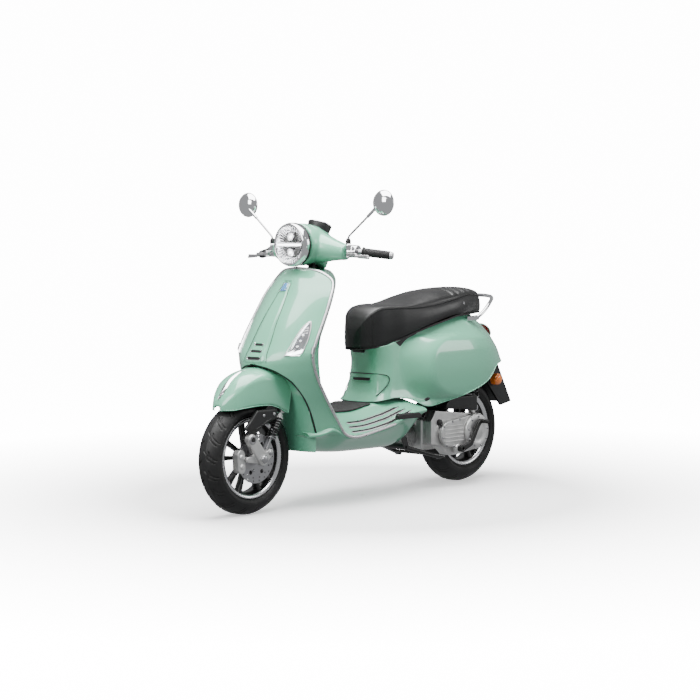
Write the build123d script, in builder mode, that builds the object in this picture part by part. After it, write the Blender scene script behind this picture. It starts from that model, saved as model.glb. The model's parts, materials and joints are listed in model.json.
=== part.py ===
"""Moped scooter with a pressed-steel body, leading-pivot front arm and swinging engine.

Frame: +X forward, +Y to the rider's left, +Z up, millimetres, ground at z = 0,
origin on the ground under the middle of the overall box.
"""
from build123d import *
import os
from math import sin, cos, radians, sqrt

os.makedirs("parts", exist_ok=True)

# ---- driving dimensions ----
WHEELBASE = 1334.0
FRONT_AXLE_X = 700.0
REAR_AXLE_X = FRONT_AXLE_X - WHEELBASE
FRONT_TYRE_R = 229.5          # 110/70-12
REAR_TYRE_R = 236.5           # 120/70-12
FRONT_TYRE_W = 110.0
REAR_TYRE_W = 120.0
BEAD_R = 152.6                # 12 inch bead seat
FLANGE_R = 163.5
RAKE = 26.0                   # steering axis from the vertical
STEER_X = 303.0               # steering axis point
STEER_Z = 980.0
SKIN = 2.5                    # pressed steel and moulded skins
GAP = 0.6                     # air between neighbouring skins

FRONT_AXLE = (FRONT_AXLE_X, FRONT_TYRE_R)
REAR_AXLE = (REAR_AXLE_X, REAR_TYRE_R)
ARM_PIVOT = (762.0, 312.0)
SHOCK_FOOT = (662.0, 252.0)
SHOCK_TOP = (565.0, 416.0)
ENGINE_PIVOT = (-250.0, 330.0)
REAR_SHOCK_FOOT = (-640.0, 335.0)
REAR_SHOCK_TOP = (-600.0, 560.0)
STAND_PIVOT = (-190.0, 195.0)
SEAT_HINGE = (20.0, 622.0)
FLAP_TIP = (-929.5, 342.0)
STEER_DIR = Vector(-sin(radians(RAKE)), 0, cos(radians(RAKE)))


def steer_point(along, y=0.0):
    """A point on the steering axis, a distance above its reference point."""
    return Vector(STEER_X, y, STEER_Z) + STEER_DIR * along


# ---- small builders used inside the part blocks ----
def prism(points, y_low, y_high, mode=Mode.ADD):
    """Add an X-Z outline as a prism between two widths."""
    with BuildSketch(Plane.XZ.offset(-y_low)) as profile:
        with BuildLine():
            Polyline(*points, close=True)
        make_face()
    extrude(profile.sketch, amount=y_low - y_high, mode=mode)


def link(a, b, radius_a, radius_b, y_low, y_high, mode=Mode.ADD):
    """Add a flat link, the hull of two circles in the X-Z plane."""
    with BuildSketch(Plane.XZ.offset(-y_low)) as profile:
        with Locations(a):
            Circle(radius_a)
        with Locations(b):
            Circle(radius_b)
        make_hull()
    extrude(profile.sketch, amount=y_low - y_high, mode=mode)


def drum(centre, radius, y_low, y_high, mode=Mode.ADD):
    """Add a cylinder that lies along Y."""
    with BuildSketch(Plane.XZ.offset(-y_low)) as profile:
        with Locations(centre):
            Circle(radius)
    extrude(profile.sketch, amount=y_low - y_high, mode=mode)


def rod(start, end, radius, mode=Mode.ADD):
    """Add a straight round bar between two points."""
    run = Vector(end) - Vector(start)
    with BuildSketch(Plane(origin=start, z_dir=run)) as profile:
        Circle(radius)
    extrude(profile.sketch, amount=run.length, mode=mode)


def tube(points, bend, radius):
    """Add a round bar bent along a filleted path."""
    with BuildLine() as path:
        FilletPolyline(*points, radius=bend)
    start = path.line @ 0
    with BuildSketch(Plane(origin=start, z_dir=path.line % 0)) as profile:
        Circle(radius)
    sweep(profile.sketch, path=path.line)


def interpolate(table, z):
    """Straight-line value from (z, value) pairs with z rising."""
    for (z0, v0), (z1, v1) in zip(table, table[1:]):
        if z <= z1:
            return v0 + (v1 - v0) * (z - z0) / (z1 - z0)
    return table[-1][1]


# ---- leg shield shape: an edge line and a nose line, joined by a crowned curve ----
EDGE_X = [(300, 325), (410, 396), (500, 460), (580, 508), (640, 521), (700, 492), (790, 435),
          (880, 383), (940, 343), (975, 372), (984, 390)]
EDGE_Y = [(300, 203), (410, 192), (500, 200), (640, 210), (790, 200), (880, 186), (940, 157),
          (954, 118), (975, 80), (984, 30)]
NOSE_X = [(300, 600), (600, 646), (680, 607), (760, 560), (870, 482), (930, 440), (984, 394)]
CROWN = 2.0


def shield_x(y, z):
    """Front surface of the leg shield at a width and height."""
    nose = interpolate(NOSE_X, z)
    edge = interpolate(EDGE_X, z)
    return nose - (nose - edge) * (abs(y) / interpolate(EDGE_Y, z)) ** CROWN


def shield_section(z, inset, back):
    """One level of the shield: the crowned front and a straight back."""
    half = interpolate(EDGE_Y, z) - 8.0 - inset
    rear = interpolate(EDGE_X, z) - 8.0 - back
    widths = [-1.0, -0.66, -0.33, 0.0, 0.33, 0.66, 1.0]
    front = [(shield_x(w * half, z) - 6.0 - inset, w * half) for w in widths]
    with BuildSketch(Plane.XY.offset(z)) as level:
        with BuildLine():
            Spline(*front)
            Polyline(front[-1], (rear, half), (rear, -half), front[0])
        make_face()
    return level.sketch


SHIELD_LEVELS = [304, 410, 500, 580, 640, 700, 790, 880, 935, 954]
ARCH_CENTRE = (705.0, 355.0)
ARCH_R = 245.0

with BuildPart() as leg_shield:
    loft([shield_section(level, 0.0, 1.0) for level in SHIELD_LEVELS], ruled=True)
    hollow = SHIELD_LEVELS[:-1] + [SHIELD_LEVELS[-1] - SKIN]
    loft([shield_section(level, SKIN + 0.5, 12.0) for level in hollow], ruled=True, mode=Mode.SUBTRACT)
    drum(ARCH_CENTRE, ARCH_R, -260, 260, mode=Mode.SUBTRACT)
    prism([(640, 250), (900, 250), (900, 600), (640, 600)], -260, 260, mode=Mode.SUBTRACT)
    rod(steer_point(-120), steer_point(90), 40, mode=Mode.SUBTRACT)
leg_shield.part.label = "leg_shield"
export_step(leg_shield.part, "parts/leg_shield.step")

# edge trim: a bright bead round the shield and back along the floor
EDGE_LINE = [(390, 0, 979), (378, 82, 973), (343, 160, 943), (398, 199, 850), (455, 202, 760), (520, 211, 645),
             (508, 211, 578), (396, 196, 410), (318, 210, 300), (262, 212, 286), (60, 207, 313),
             (28, 207, 320)]
EDGE_BENDS = [60, 22, 60, 400, 40, 60, 400, 60, 60, 120]
with BuildPart() as shield_trim:
    tube(EDGE_LINE, EDGE_BENDS, 4.5)
    mirror(about=Plane.XZ)
shield_trim.part.label = "shield_trim"
export_step(shield_trim.part, "parts/shield_trim.step")

# central horn cover, a raised tie on the nose with three air slots
TIE_LEVELS = ((930, 20), (870, 27), (800, 38), (760, 42), (680, 51), (606, 61))
SLOTS = ((677, 24), (650, 31), (623, 38))     # level and half width
with BuildPart() as horn_cover:
    for level, half in TIE_LEVELS:
        with BuildSketch(Plane.XY.offset(level)):
            with BuildLine():
                outer = [(shield_x(w * half, level), w * half) for w in (-1, -0.5, 0, 0.5, 1)]
                inner = [(x - 3.3, y) for x, y in reversed(outer)]
                Polyline(*outer, *inner, close=True)
            make_face()
    loft(ruled=True)
    for level, half in SLOTS:
        with Locations((shield_x(0, level), 0, level)):
            Box(60, 2 * half, 9, mode=Mode.SUBTRACT)
horn_cover.part.label = "horn_cover"
export_step(horn_cover.part, "parts/horn_cover.step")

# front turn indicators, one lens each side
with BuildPart() as front_indicators:
    for level, near, far in ((638, 134, 178), (680, 136, 185), (755, 151, 172), (768, 163, 170)):
        with BuildSketch(Plane.XY.offset(level)):
            with BuildLine():
                outer = [(shield_x(y, level) + 2.0, y) for y in (near, (near + far) / 2, far)]
                inner = [(x - 5.0, y) for x, y in reversed(outer)]
                Polyline(*outer, *inner, close=True)
            make_face()
    loft(ruled=True)
    mirror(about=Plane.XZ)
front_indicators.part.label = "front_indicators"
export_step(front_indicators.part, "parts/front_indicators.step")

# inner shield: the rider's side of the leg shield with two glovebox pockets
BACK_X = [(405, 378), (443, 384), (540, 400), (632, 409), (689, 400), (760, 365), (850, 315), (940, 270)]
INNER_LEVELS = [408, 500, 580, 632, 689, 760, 850, 934]
GLOVE_Y = 118.0
GLOVE_HINGE = (400.5, 598.0)


def inner_section(z, inset, front):
    """One level of the inner shield, open towards the front."""
    half = interpolate(EDGE_Y, z) - 13.0 - inset
    edge = interpolate(EDGE_X, z) - 2.5 + front
    back = interpolate(BACK_X, z) + inset
    corner = back + 0.35 * (interpolate(EDGE_X, z) - back)
    with BuildSketch(Plane.XY.offset(z)) as level:
        with BuildLine():
            Polyline((edge, half), (corner, half - 12), (back, half - 50),
                     (back, 50 - half), (corner, 12 - half), (edge, -half), close=True)
        make_face()
    return level.sketch


with BuildPart() as inner_shield:
    loft([inner_section(level, 0.0, 0.0) for level in INNER_LEVELS], ruled=True)
    hollow = [INNER_LEVELS[0] + 3] + INNER_LEVELS[1:-1] + [INNER_LEVELS[-1] - 3]
    loft([inner_section(level, 3.0, 30.0) for level in hollow], ruled=True, mode=Mode.SUBTRACT)
    for side in (-1, 1):
        low, high = sorted((side * 36, side * 120))
        prism([(408, 598), (470, 598), (470, 762), (366, 762), (400.5, 689), (409.5, 632)], low, high)
    for side in (-1, 1):
        low, high = sorted((side * 38, side * 118))
        prism([(380, 600), (467, 600), (467, 760), (340, 760)], low, high, mode=Mode.SUBTRACT)
    for side in (-1, 1):
        low, high = sorted((side * 42, side * 48))
        prism([(397, 594), (410, 594), (410, 602), (397, 602)], low, high)
    drum(GLOVE_HINGE, 1.5, -48, 48)
    rod(steer_point(-140), steer_point(90), 44, mode=Mode.SUBTRACT)
    with Locations((300, -70, 850)):
        Box(80, 24, 24, mode=Mode.SUBTRACT)
inner_shield.part.label = "inner_shield"
export_step(inner_shield.part, "parts/inner_shield.step")

# glovebox door: hinged along its lower edge, closing both pockets
with BuildPart() as glovebox_door:
    prism([(405.3, 605), (408, 632), (399, 689), (365, 758), (361, 758), (395, 689), (404, 632),
           (401.3, 605)], -GLOVE_Y, GLOVE_Y)
    drum(GLOVE_HINGE, 4, -40, 40)
    prism([(399, 599), (404, 599), (405, 607), (401.5, 607)], -40, 40)
    drum(GLOVE_HINGE, 1.55, -50, 50, mode=Mode.SUBTRACT)
glovebox_door.part.label = "glovebox_door"
export_step(glovebox_door.part, "parts/glovebox_door.step")

# ignition key in its barrel, on the right of the inner shield
KEY_AT = (304.0, -70.0, 850.0)
with BuildPart() as ignition_key:
    rod((KEY_AT[0] + 30, KEY_AT[1], KEY_AT[2]), (KEY_AT[0], KEY_AT[1], KEY_AT[2]), 9)
    with Locations((KEY_AT[0] - 17, KEY_AT[1], KEY_AT[2])):
        Box(34, 3, 22)
ignition_key.part.label = "ignition_key"
export_step(ignition_key.part, "parts/ignition_key.step")

# ---- welded inner frame: head tube, spine, rear rails and lugs ----
HEAD_LOW = -425.0
HEAD_HIGH = -45.0
COLUMN_R = 17.0
RAIL_Y = 140.0
with BuildPart() as inner_frame:
    rod(steer_point(HEAD_LOW), steer_point(HEAD_HIGH), 27)
    tube([(472, 0, 640), (432, 0, 560), (425, 0, 420), (400, 0, 330), (300, 0, 290), (-110, 0, 290)],
         [40, 60, 40, 40], 22)
    tube([(-95, 0, 290), (-150, 70, 305), (-250, RAIL_Y, 400), (-600, RAIL_Y, 580)], [20, 30], 13)
    tube([(-95, 0, 290), (-150, -70, 305), (-250, -RAIL_Y, 400), (-600, -RAIL_Y, 580)], [20, 30], 13)
    for side in (-1, 1):
        low, high = sorted((side * 52, side * 60))
        link(ENGINE_PIVOT, (-160, 305), 20, 12, low, high)
        low, high = sorted((side * 80, side * 87))
        link(STAND_PIVOT, (-145, 300), 13, 13, low, high)
        rod((-150, side * 60, 303), (-150, side * 84, 303), 8)
    drum(ENGINE_PIVOT, 8, -66, 66)
    drum(STAND_PIVOT, 6, -92, 92)
    drum(REAR_SHOCK_TOP, 7, 88, 130)
    rod((-600, RAIL_Y, 576), (-600, 122, 560), 9)
    rod(steer_point(HEAD_LOW - 5), steer_point(HEAD_HIGH + 5), COLUMN_R + 0.05, mode=Mode.SUBTRACT)
inner_frame.part.label = "inner_frame"
export_step(inner_frame.part, "parts/inner_frame.step")

# ---- floor pan: a flat-topped tunnel with sloping sides and a tucked-in belly ----
# station x: (belly z, top z, side z, half width at the side)
FLOOR = [(390, (268, 396, 330, 140)), (318, (222, 385, 298, 196)), (200, (206, 381, 300, 200)),
         (60, (202, 400, 312, 200)), (-60, (198, 415, 345, 200)), (-140, (206, 413, 365, 196)),
         (-205, (300, 392, 368, 190))]
FLAT_HALF = 100.0


def floor_section(x, belly, top, side, half, inset):
    """One station of the floor pan."""
    flat = FLAT_HALF - inset / 2
    keel = 62 - inset / 2
    with BuildSketch(Plane.YZ.offset(x)) as station:
        with BuildLine():
            Polyline((flat, top - inset), (half - inset, side), (half * 0.68 - inset, belly * 0.55 + side * 0.45),
                     (keel, belly + inset), (-keel, belly + inset),
                     (inset - half * 0.68, belly * 0.55 + side * 0.45), (inset - half, side),
                     (-flat, top - inset), close=True)
        make_face()
    return station.sketch


PEG_PIVOT = (-118.0, 214.0)
PEG_Z = 350.0
with BuildPart() as floor_pan:
    loft([floor_section(x, *values, 0.0) for x, values in FLOOR], ruled=True)
    for side in (-1, 1):
        for z in (PEG_Z - 17, PEG_Z + 13):
            with Locations((PEG_PIVOT[0], side * 200, z + 2)):
                Box(24, 44, 4)
        rod((PEG_PIVOT[0], side * PEG_PIVOT[1], PEG_Z - 15), (PEG_PIVOT[0], side * PEG_PIVOT[1], PEG_Z + 15), 4)
    for side in (-1, 1):
        low, high = sorted((side * 78, side * 89))
        prism([(-215, 190), (-130, 190), (-130, 300), (-215, 312)], low, high, mode=Mode.SUBTRACT)
    hollow = [(FLOOR[0][0] + 1, FLOOR[0][1])] + FLOOR[1:-1] + [(FLOOR[-1][0] - 1, FLOOR[-1][1])]
    loft([floor_section(x, *values, SKIN) for x, values in hollow], ruled=True, mode=Mode.SUBTRACT)
floor_pan.part.label = "floor_pan"
export_step(floor_pan.part, "parts/floor_pan.step")

MAT_THICK = 3.5
with BuildPart() as floor_mat:
    prism([(300, 385.4), (200, 381.6), (60, 400.6), (50, 401.8), (50, 405), (60, 400.6 + MAT_THICK),
           (200, 381.6 + MAT_THICK), (300, 388)], -95, 95)
floor_mat.part.label = "floor_mat"
export_step(floor_mat.part, "parts/floor_mat.step")

# bright strips along the sloping floor sides
STRIP_R = 3.5


def strip_point(x, across, lift):
    """A point above the sloping side: across runs from the flat (0) to the edge (1)."""
    top = interpolate([(s, v[1]) for s, v in reversed(FLOOR)], x)
    side = interpolate([(s, v[2]) for s, v in reversed(FLOOR)], x)
    half = interpolate([(s, v[3]) for s, v in reversed(FLOOR)], x)
    run = Vector(0, half - FLAT_HALF, side - top)
    out = Vector(0, top - side, half - FLAT_HALF).normalized()
    return Vector(x, FLAT_HALF, top) + run * across + out * lift


with BuildPart() as floor_strips:
    for across in (0.42, 0.62, 0.82):
        stations = (300, 200, 60, -40)
        tube([strip_point(x, across, STRIP_R + 1.2) for x in stations], 200, STRIP_R)
    mirror(about=Plane.XZ)
floor_strips.part.label = "floor_strips"
export_step(floor_strips.part, "parts/floor_strips.step")

# ---- rear body: half-ellipse plan forms stacked up, open below and under the seat ----
BODY_MID = -400.0
BODY_FRONT = [(360, 62), (407, 40), (455, 10), (500, -2), (561, -8), (620, 4), (680, 30), (770, 60)]
BODY_TAIL = [(360, -880), (520, -880), (583, -845), (629, -806), (690, -752), (737, -690), (770, -640)]
BODY_WIDE = 196.0
SEAT_LINE = [(110, 616), (3, 629), (-136, 664), (-277, 706), (-460, 747), (-600, 753), (-720, 756)]


def body_half_width(z):
    """Half width of the rear body at its middle station."""
    rise = max(0.0, z - 520.0) / 300.0
    tuck = max(0.0, 520.0 - z) / 600.0
    return BODY_WIDE * sqrt(max(0.05, 1 - rise ** 2 - tuck ** 2))


def body_section(z, inset):
    """Plan form of the rear body at one height."""
    half = body_half_width(z) - inset
    front = interpolate(BODY_FRONT, z) - inset - BODY_MID
    tail = BODY_MID - interpolate(BODY_TAIL, z) - inset
    with BuildSketch(Plane.XY.offset(z)) as level:
        with BuildLine():
            EllipticalCenterArc((BODY_MID, 0), front, half, -90, arc_size=180)
            EllipticalCenterArc((BODY_MID, 0), tail, half, 90, arc_size=180)
        make_face()
    return level.sketch


BODY_LEVELS = [365, 407, 455, 500, 561, 629, 690, 762]
ABOVE_SEAT = SEAT_LINE + [(-1000, 756), (-1000, 900), (300, 900), (300, 616)]
BELOW_BODY = [(300, 300), (300, 423), (60, 423), (-145, 419), (-240, 376), (-265, 376), (-451, 409),
              (-636, 465), (-725, 532), (-1000, 545), (-1000, 300)]
with BuildPart() as rear_body:
    loft([body_section(z, 0.0) for z in BODY_LEVELS], ruled=True)
    hollow = [BODY_LEVELS[0] - 1] + BODY_LEVELS[1:-1] + [BODY_LEVELS[-1] + 1]
    loft([body_section(z, SKIN) for z in hollow], ruled=True, mode=Mode.SUBTRACT)
    prism(ABOVE_SEAT, -300, 300, mode=Mode.SUBTRACT)
    prism(BELOW_BODY, -300, 300, mode=Mode.SUBTRACT)
    for side in (-1, 1):
        low, high = sorted((side * 31, side * 37))
        link(SEAT_HINGE, (-4, 606), 7, 7, low, high)
    drum(SEAT_HINGE, 4, -37, 37)
rear_body.part.label = "rear_body"
export_step(rear_body.part, "parts/rear_body.step")

# access door wrapped round the front of the column
with BuildPart() as access_door:
    loft([body_section(z, -4.0) for z in (432, 455, 500, 520)], ruled=True)
    loft([body_section(z, -1.0) for z in (431, 455, 500, 521)], ruled=True, mode=Mode.SUBTRACT)
    with Locations((-10, 0, 476)):
        Box(110, 250, 100, mode=Mode.INTERSECT)
    with Locations((10, 0, 500)):
        Box(60, 70, 7, mode=Mode.SUBTRACT)
access_door.part.label = "access_door"
export_step(access_door.part, "parts/access_door.step")

# storage bin under the seat
BIN_PLAN = [(-40, 62), (-92, 106), (-330, 118), (-330, -118), (-92, -106), (-40, -62)]
BIN_WALL = 3.0
BIN_FLOOR = 452.0


def bin_prism(plan, low, high, mode):
    """A vertical-walled block on a plan outline."""
    with BuildSketch(Plane.XY.offset(low)) as outline:
        with BuildLine():
            Polyline(*plan, close=True)
        make_face()
    extrude(outline.sketch, amount=high - low, mode=mode)


BIN_INNER = [(-44, 59), (-94, 102.5), (-327, 115), (-327, -115), (-94, -102.5), (-44, -59)]
with BuildPart() as storage_bin:
    bin_prism(BIN_PLAN, BIN_FLOOR, 760, Mode.ADD)
    bin_prism(BIN_INNER, BIN_FLOOR + BIN_WALL, 770, Mode.SUBTRACT)
    prism(ABOVE_SEAT, -300, 300, mode=Mode.SUBTRACT)
storage_bin.part.label = "storage_bin"
export_step(storage_bin.part, "parts/storage_bin.step")

# fuel tank behind the bin
with BuildPart() as fuel_tank:
    prism([(-345, 560), (-345, 690), (-460, 715), (-540, 715), (-600, 680), (-590, 600), (-520, 560)], -92, 92)
    fillet(fuel_tank.edges().filter_by(Axis.Y), 14)
    rod((-500, 0, 710), (-500, 0, 738), 30)
fuel_tank.part.label = "fuel_tank"
export_step(fuel_tank.part, "parts/fuel_tank.step")

# tail lamp on the back of the tail
with BuildPart() as tail_lamp:
    prism([(-755, 697), (-800, 640), (-822, 636), (-830, 650), (-802, 690), (-775, 706)], -46, 46)
    fillet(tail_lamp.edges().filter_by(Axis.Y).sort_by(Axis.X)[:2], 9)
tail_lamp.part.label = "tail_lamp"
export_step(tail_lamp.part, "parts/tail_lamp.step")

# number plate holder with a mudflap and side wings
PLATE_HOLE_R = 3.25
PLATE_BOLT_Y = 50.0
PLATE_BOLT_Z = 400.0
with BuildPart() as plate_holder:
    prism([(-750, 538), (-800, 500), (-850, 436), (-908, 338), FLAP_TIP, (-866, 458), (-820, 540)], -78, 78)
    for side in (-1, 1):
        low, high = sorted((side * 66, side * 78))
        prism([(-757, 440), (-750, 538), (-820, 540), (-866, 458), (-908, 338), (-856, 328)], low, high)
    for y in (-PLATE_BOLT_Y, PLATE_BOLT_Y):
        rod((-940, y, PLATE_BOLT_Z), (-840, y, PLATE_BOLT_Z), PLATE_HOLE_R, mode=Mode.SUBTRACT)
plate_holder.part.label = "plate_holder"
export_step(plate_holder.part, "parts/plate_holder.step")

with BuildPart() as rear_indicators:
    for side in (-1, 1):
        low, high = sorted((side * 78.5, side * 116))
        drum((-800, 452), 24, low, high)
rear_indicators.part.label = "rear_indicators"
export_step(rear_indicators.part, "parts/rear_indicators.step")

with BuildPart() as grab_rail:
    tube([(-556, 130, 731), (-600, 150, 742), (-690, 142, 800), (-760, 92, 824), (-778, 0, 828),
          (-760, -92, 824), (-690, -142, 800), (-600, -150, 742), (-556, -130, 731)],
         [25, 45, 45, 60, 45, 45, 25], 9)
grab_rail.part.label = "grab_rail"
export_step(grab_rail.part, "parts/grab_rail.step")

# ---- seat: a moulded pan on a front hinge, with a foam cushion ----
SEAT_PLAN = [(66, 26), (46, 56), (0, 84), (-80, 104), (-150, 122), (-300, 142), (-450, 146), (-600, 126),
             (-680, 96), (-714, 50)]
PAN_LIFT = 4.0
PAN_THICK = 6.0


def seat_plan_cut(low, high):
    """Trim the part to the plan outline of the seat."""
    right = [(x, -y) for x, y in reversed(SEAT_PLAN)]
    with BuildSketch(Plane.XY.offset(low)) as outline:
        with BuildLine():
            Polyline(*SEAT_PLAN, *right, close=True)
        make_face()
    extrude(outline.sketch, amount=high - low, mode=Mode.INTERSECT)


def lifted(points, lift):
    """An outline moved straight up."""
    return [(x, z + lift) for x, z in points]


with BuildPart() as seat_base:
    prism(lifted(SEAT_LINE, PAN_LIFT) + lifted(list(reversed(SEAT_LINE)), PAN_LIFT + PAN_THICK), -150, 150)
    seat_plan_cut(500, 900)
    drum(SEAT_HINGE, 9, -28, 28)
    prism([(12, 624), (28, 622), (30, 634), (10, 634)], -28, 28)
    drum(SEAT_HINGE, 4.05, -40, 40, mode=Mode.SUBTRACT)
seat_base.part.label = "seat_base"
export_step(seat_base.part, "parts/seat_base.step")

CUSHION_TOP = [(-718, 800), (-712, 846), (-690, 866), (-577, 875), (-398, 870), (-282, 850), (-200, 828),
               (-133, 816), (-5, 818), (45, 790), (66, 730), (68, 660)]
with BuildPart() as seat_cushion:
    prism(lifted(list(reversed(SEAT_LINE[1:])), PAN_LIFT + PAN_THICK + 0.6)[::-1] + CUSHION_TOP[0:]
          + [(68, 634)], -150, 150)
    seat_plan_cut(500, 900)
seat_cushion.part.label = "seat_cushion"
export_step(seat_cushion.part, "parts/seat_cushion.step")

# ---- wheels ----
BAND_HALF = 16.0


def make_tyre(axle, radius, width, bead_half):
    """Revolve a tyre section with a flat running band, inside the current part."""
    wide = width / 2
    centre = axle[1]
    waist = centre + (BEAD_R + radius) / 2 + 2
    bead = centre + BEAD_R + 0.3
    lip = centre + FLANGE_R + 2
    top = centre + radius
    with BuildSketch(Plane.YZ.offset(axle[0])) as section:
        with BuildLine():
            ThreePointArc((bead_half, lip), (wide, waist), (wide * 0.80, top - 15))
            ThreePointArc((wide * 0.80, top - 15), (wide * 0.55, top - 4.5), (BAND_HALF, top))
            Line((BAND_HALF, top), (-BAND_HALF, top))
            ThreePointArc((-BAND_HALF, top), (-wide * 0.55, top - 4.5), (-wide * 0.80, top - 15))
            ThreePointArc((-wide * 0.80, top - 15), (-wide, waist), (-bead_half, lip))
            Polyline((-bead_half, lip), (-bead_half, bead), (10 - bead_half, bead), (14 - wide, waist - 10))
            ThreePointArc((14 - wide, waist - 10), (-wide * 0.6, top - 20), (0, top - 13))
            ThreePointArc((0, top - 13), (wide * 0.6, top - 20), (wide - 14, waist - 10))
            Polyline((wide - 14, waist - 10), (bead_half - 10, bead), (bead_half, bead), (bead_half, lip))
        make_face()
    revolve(section.sketch, axis=Axis((axle[0], 0, centre), (0, 1, 0)))


def make_rim(axle, half, spokes, web, hub_r, bore_r, hub_low, hub_high):
    """Revolve a rim with flanges and join it to a hub with spokes."""
    centre = axle[1]
    outline = [(half, FLANGE_R), (half - 3, FLANGE_R), (half - 3, BEAD_R), (half - 18, BEAD_R),
               (half - 24, BEAD_R - 10), (24 - half, BEAD_R - 10), (18 - half, BEAD_R), (3 - half, BEAD_R),
               (3 - half, FLANGE_R), (-half, FLANGE_R), (-half, BEAD_R - 5.5), (16 - half, BEAD_R - 5.5),
               (24 - half, BEAD_R - 15), (half - 24, BEAD_R - 15), (half - 16, BEAD_R - 5.5),
               (half, BEAD_R - 5.5)]
    with BuildSketch(Plane.YZ.offset(axle[0])) as section:
        with BuildLine():
            Polyline(*[(y, centre + r) for y, r in outline], close=True)
        make_face()
    revolve(section.sketch, axis=Axis((axle[0], 0, centre), (0, 1, 0)))
    drum(axle, hub_r, hub_low, hub_high)
    with Locations(Plane(origin=(axle[0], web, centre), x_dir=(1, 0, 0), z_dir=(0, -1, 0))):
        with PolarLocations((hub_r + BEAD_R - 12) / 2, spokes):
            Box(BEAD_R - hub_r, 34, 13)
    drum(axle, bore_r, -200, 200, mode=Mode.SUBTRACT)


with BuildPart() as front_tyre:
    make_tyre(FRONT_AXLE, FRONT_TYRE_R, FRONT_TYRE_W, 42.6)
front_tyre.part.label = "front_tyre"
export_step(front_tyre.part, "parts/front_tyre.step")

with BuildPart() as rear_tyre:
    make_tyre(REAR_AXLE, REAR_TYRE_R, REAR_TYRE_W, 46.6)
rear_tyre.part.label = "rear_tyre"
export_step(rear_tyre.part, "parts/rear_tyre.step")

AXLE_R = 10.0
with BuildPart() as front_rim:
    make_rim(FRONT_AXLE, 46, 5, 8, 34, AXLE_R + 0.05, -34, 61.6)
front_rim.part.label = "front_rim"
export_step(front_rim.part, "parts/front_rim.step")

OUTPUT_R = 13.0
with BuildPart() as rear_rim:
    make_rim(REAR_AXLE, 50, 5, 12, 62, OUTPUT_R + 0.05, -10, 56)
rear_rim.part.label = "rear_rim"
export_step(rear_rim.part, "parts/rear_rim.step")

DISC_Y = (62.0, 66.5)
DISC_R = 100.0
with BuildPart() as brake_disc:
    drum(FRONT_AXLE, DISC_R, *DISC_Y)
    drum(FRONT_AXLE, 22, *DISC_Y, mode=Mode.SUBTRACT)
    with Locations(Plane(origin=(FRONT_AXLE[0], DISC_Y[0], FRONT_AXLE[1]), x_dir=(1, 0, 0), z_dir=(0, 1, 0))):
        for ring, count in ((62, 6), (78, 14), (91, 18)):
            with PolarLocations(ring, count):
                Cylinder(9 if ring == 62 else 3.2, 20, mode=Mode.SUBTRACT)
brake_disc.part.label = "brake_disc"
export_step(brake_disc.part, "parts/brake_disc.step")

# ---- front arm, a leading pivot with the axle trailing below it ----
ARM_Y = (88.0, 112.0)
PIN_R = 9.0
with BuildPart() as front_arm:
    link(ARM_PIVOT, FRONT_AXLE, 22, 26, *ARM_Y)
    link(FRONT_AXLE, SHOCK_FOOT, 22, 15, *ARM_Y)
    drum(FRONT_AXLE, AXLE_R, -44, 90)
    drum(FRONT_AXLE, 17, 69, 90)
    drum(SHOCK_FOOT, 7, 73, 90)
    drum(FRONT_AXLE, 14, 110, 122)
    link((770, 232), FRONT_AXLE, 12, 20, 88, 100)
    drum(ARM_PIVOT, PIN_R + 0.05, 60, 130, mode=Mode.SUBTRACT)
    fillet(front_arm.edges().filter_by(GeomType.LINE).filter_by(Axis.Y), 3)
front_arm.part.label = "front_arm"
export_step(front_arm.part, "parts/front_arm.step")

CALLIPER = (800.0, 226.0)
with BuildPart() as brake_calliper:
    link((796, 198), (798, 252), 20, 20, 52, 86)
    drum(FRONT_AXLE, DISC_R + 3, 60, 68.5, mode=Mode.SUBTRACT)
    with Locations((773, 70, 232)):
        Box(12, 30, 22)
    drum(FRONT_AXLE, DISC_R + 3, 60, 68.5, mode=Mode.SUBTRACT)
    drum((796, 206), 9, 86, 92)
    drum((798, 244), 9, 86, 92)
brake_calliper.part.label = "brake_calliper"
export_step(brake_calliper.part, "parts/brake_calliper.step")


def along(foot, top, distance, y):
    """A point on a shock's axis, measured from its foot."""
    a = Vector(foot[0], y, foot[1])
    b = Vector(top[0], y, top[1])
    return a + (b - a).normalized() * distance


FORK_SHOCK_Y = 80.0
with BuildPart() as front_shock_rod:
    drum(SHOCK_FOOT, 13, 74, 86)
    rod(along(SHOCK_FOOT, SHOCK_TOP, 9, FORK_SHOCK_Y), along(SHOCK_FOOT, SHOCK_TOP, 132, FORK_SHOCK_Y), 5.8)
    rod(along(SHOCK_FOOT, SHOCK_TOP, 61, FORK_SHOCK_Y), along(SHOCK_FOOT, SHOCK_TOP, 65, FORK_SHOCK_Y), 19)
    with Locations((631, 57.2, 304)):
        Box(80, 20, 80, mode=Mode.SUBTRACT)
    drum(SHOCK_FOOT, 7.05, 70, 90, mode=Mode.SUBTRACT)
front_shock_rod.part.label = "front_shock_rod"
export_step(front_shock_rod.part, "parts/front_shock_rod.step")

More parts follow.
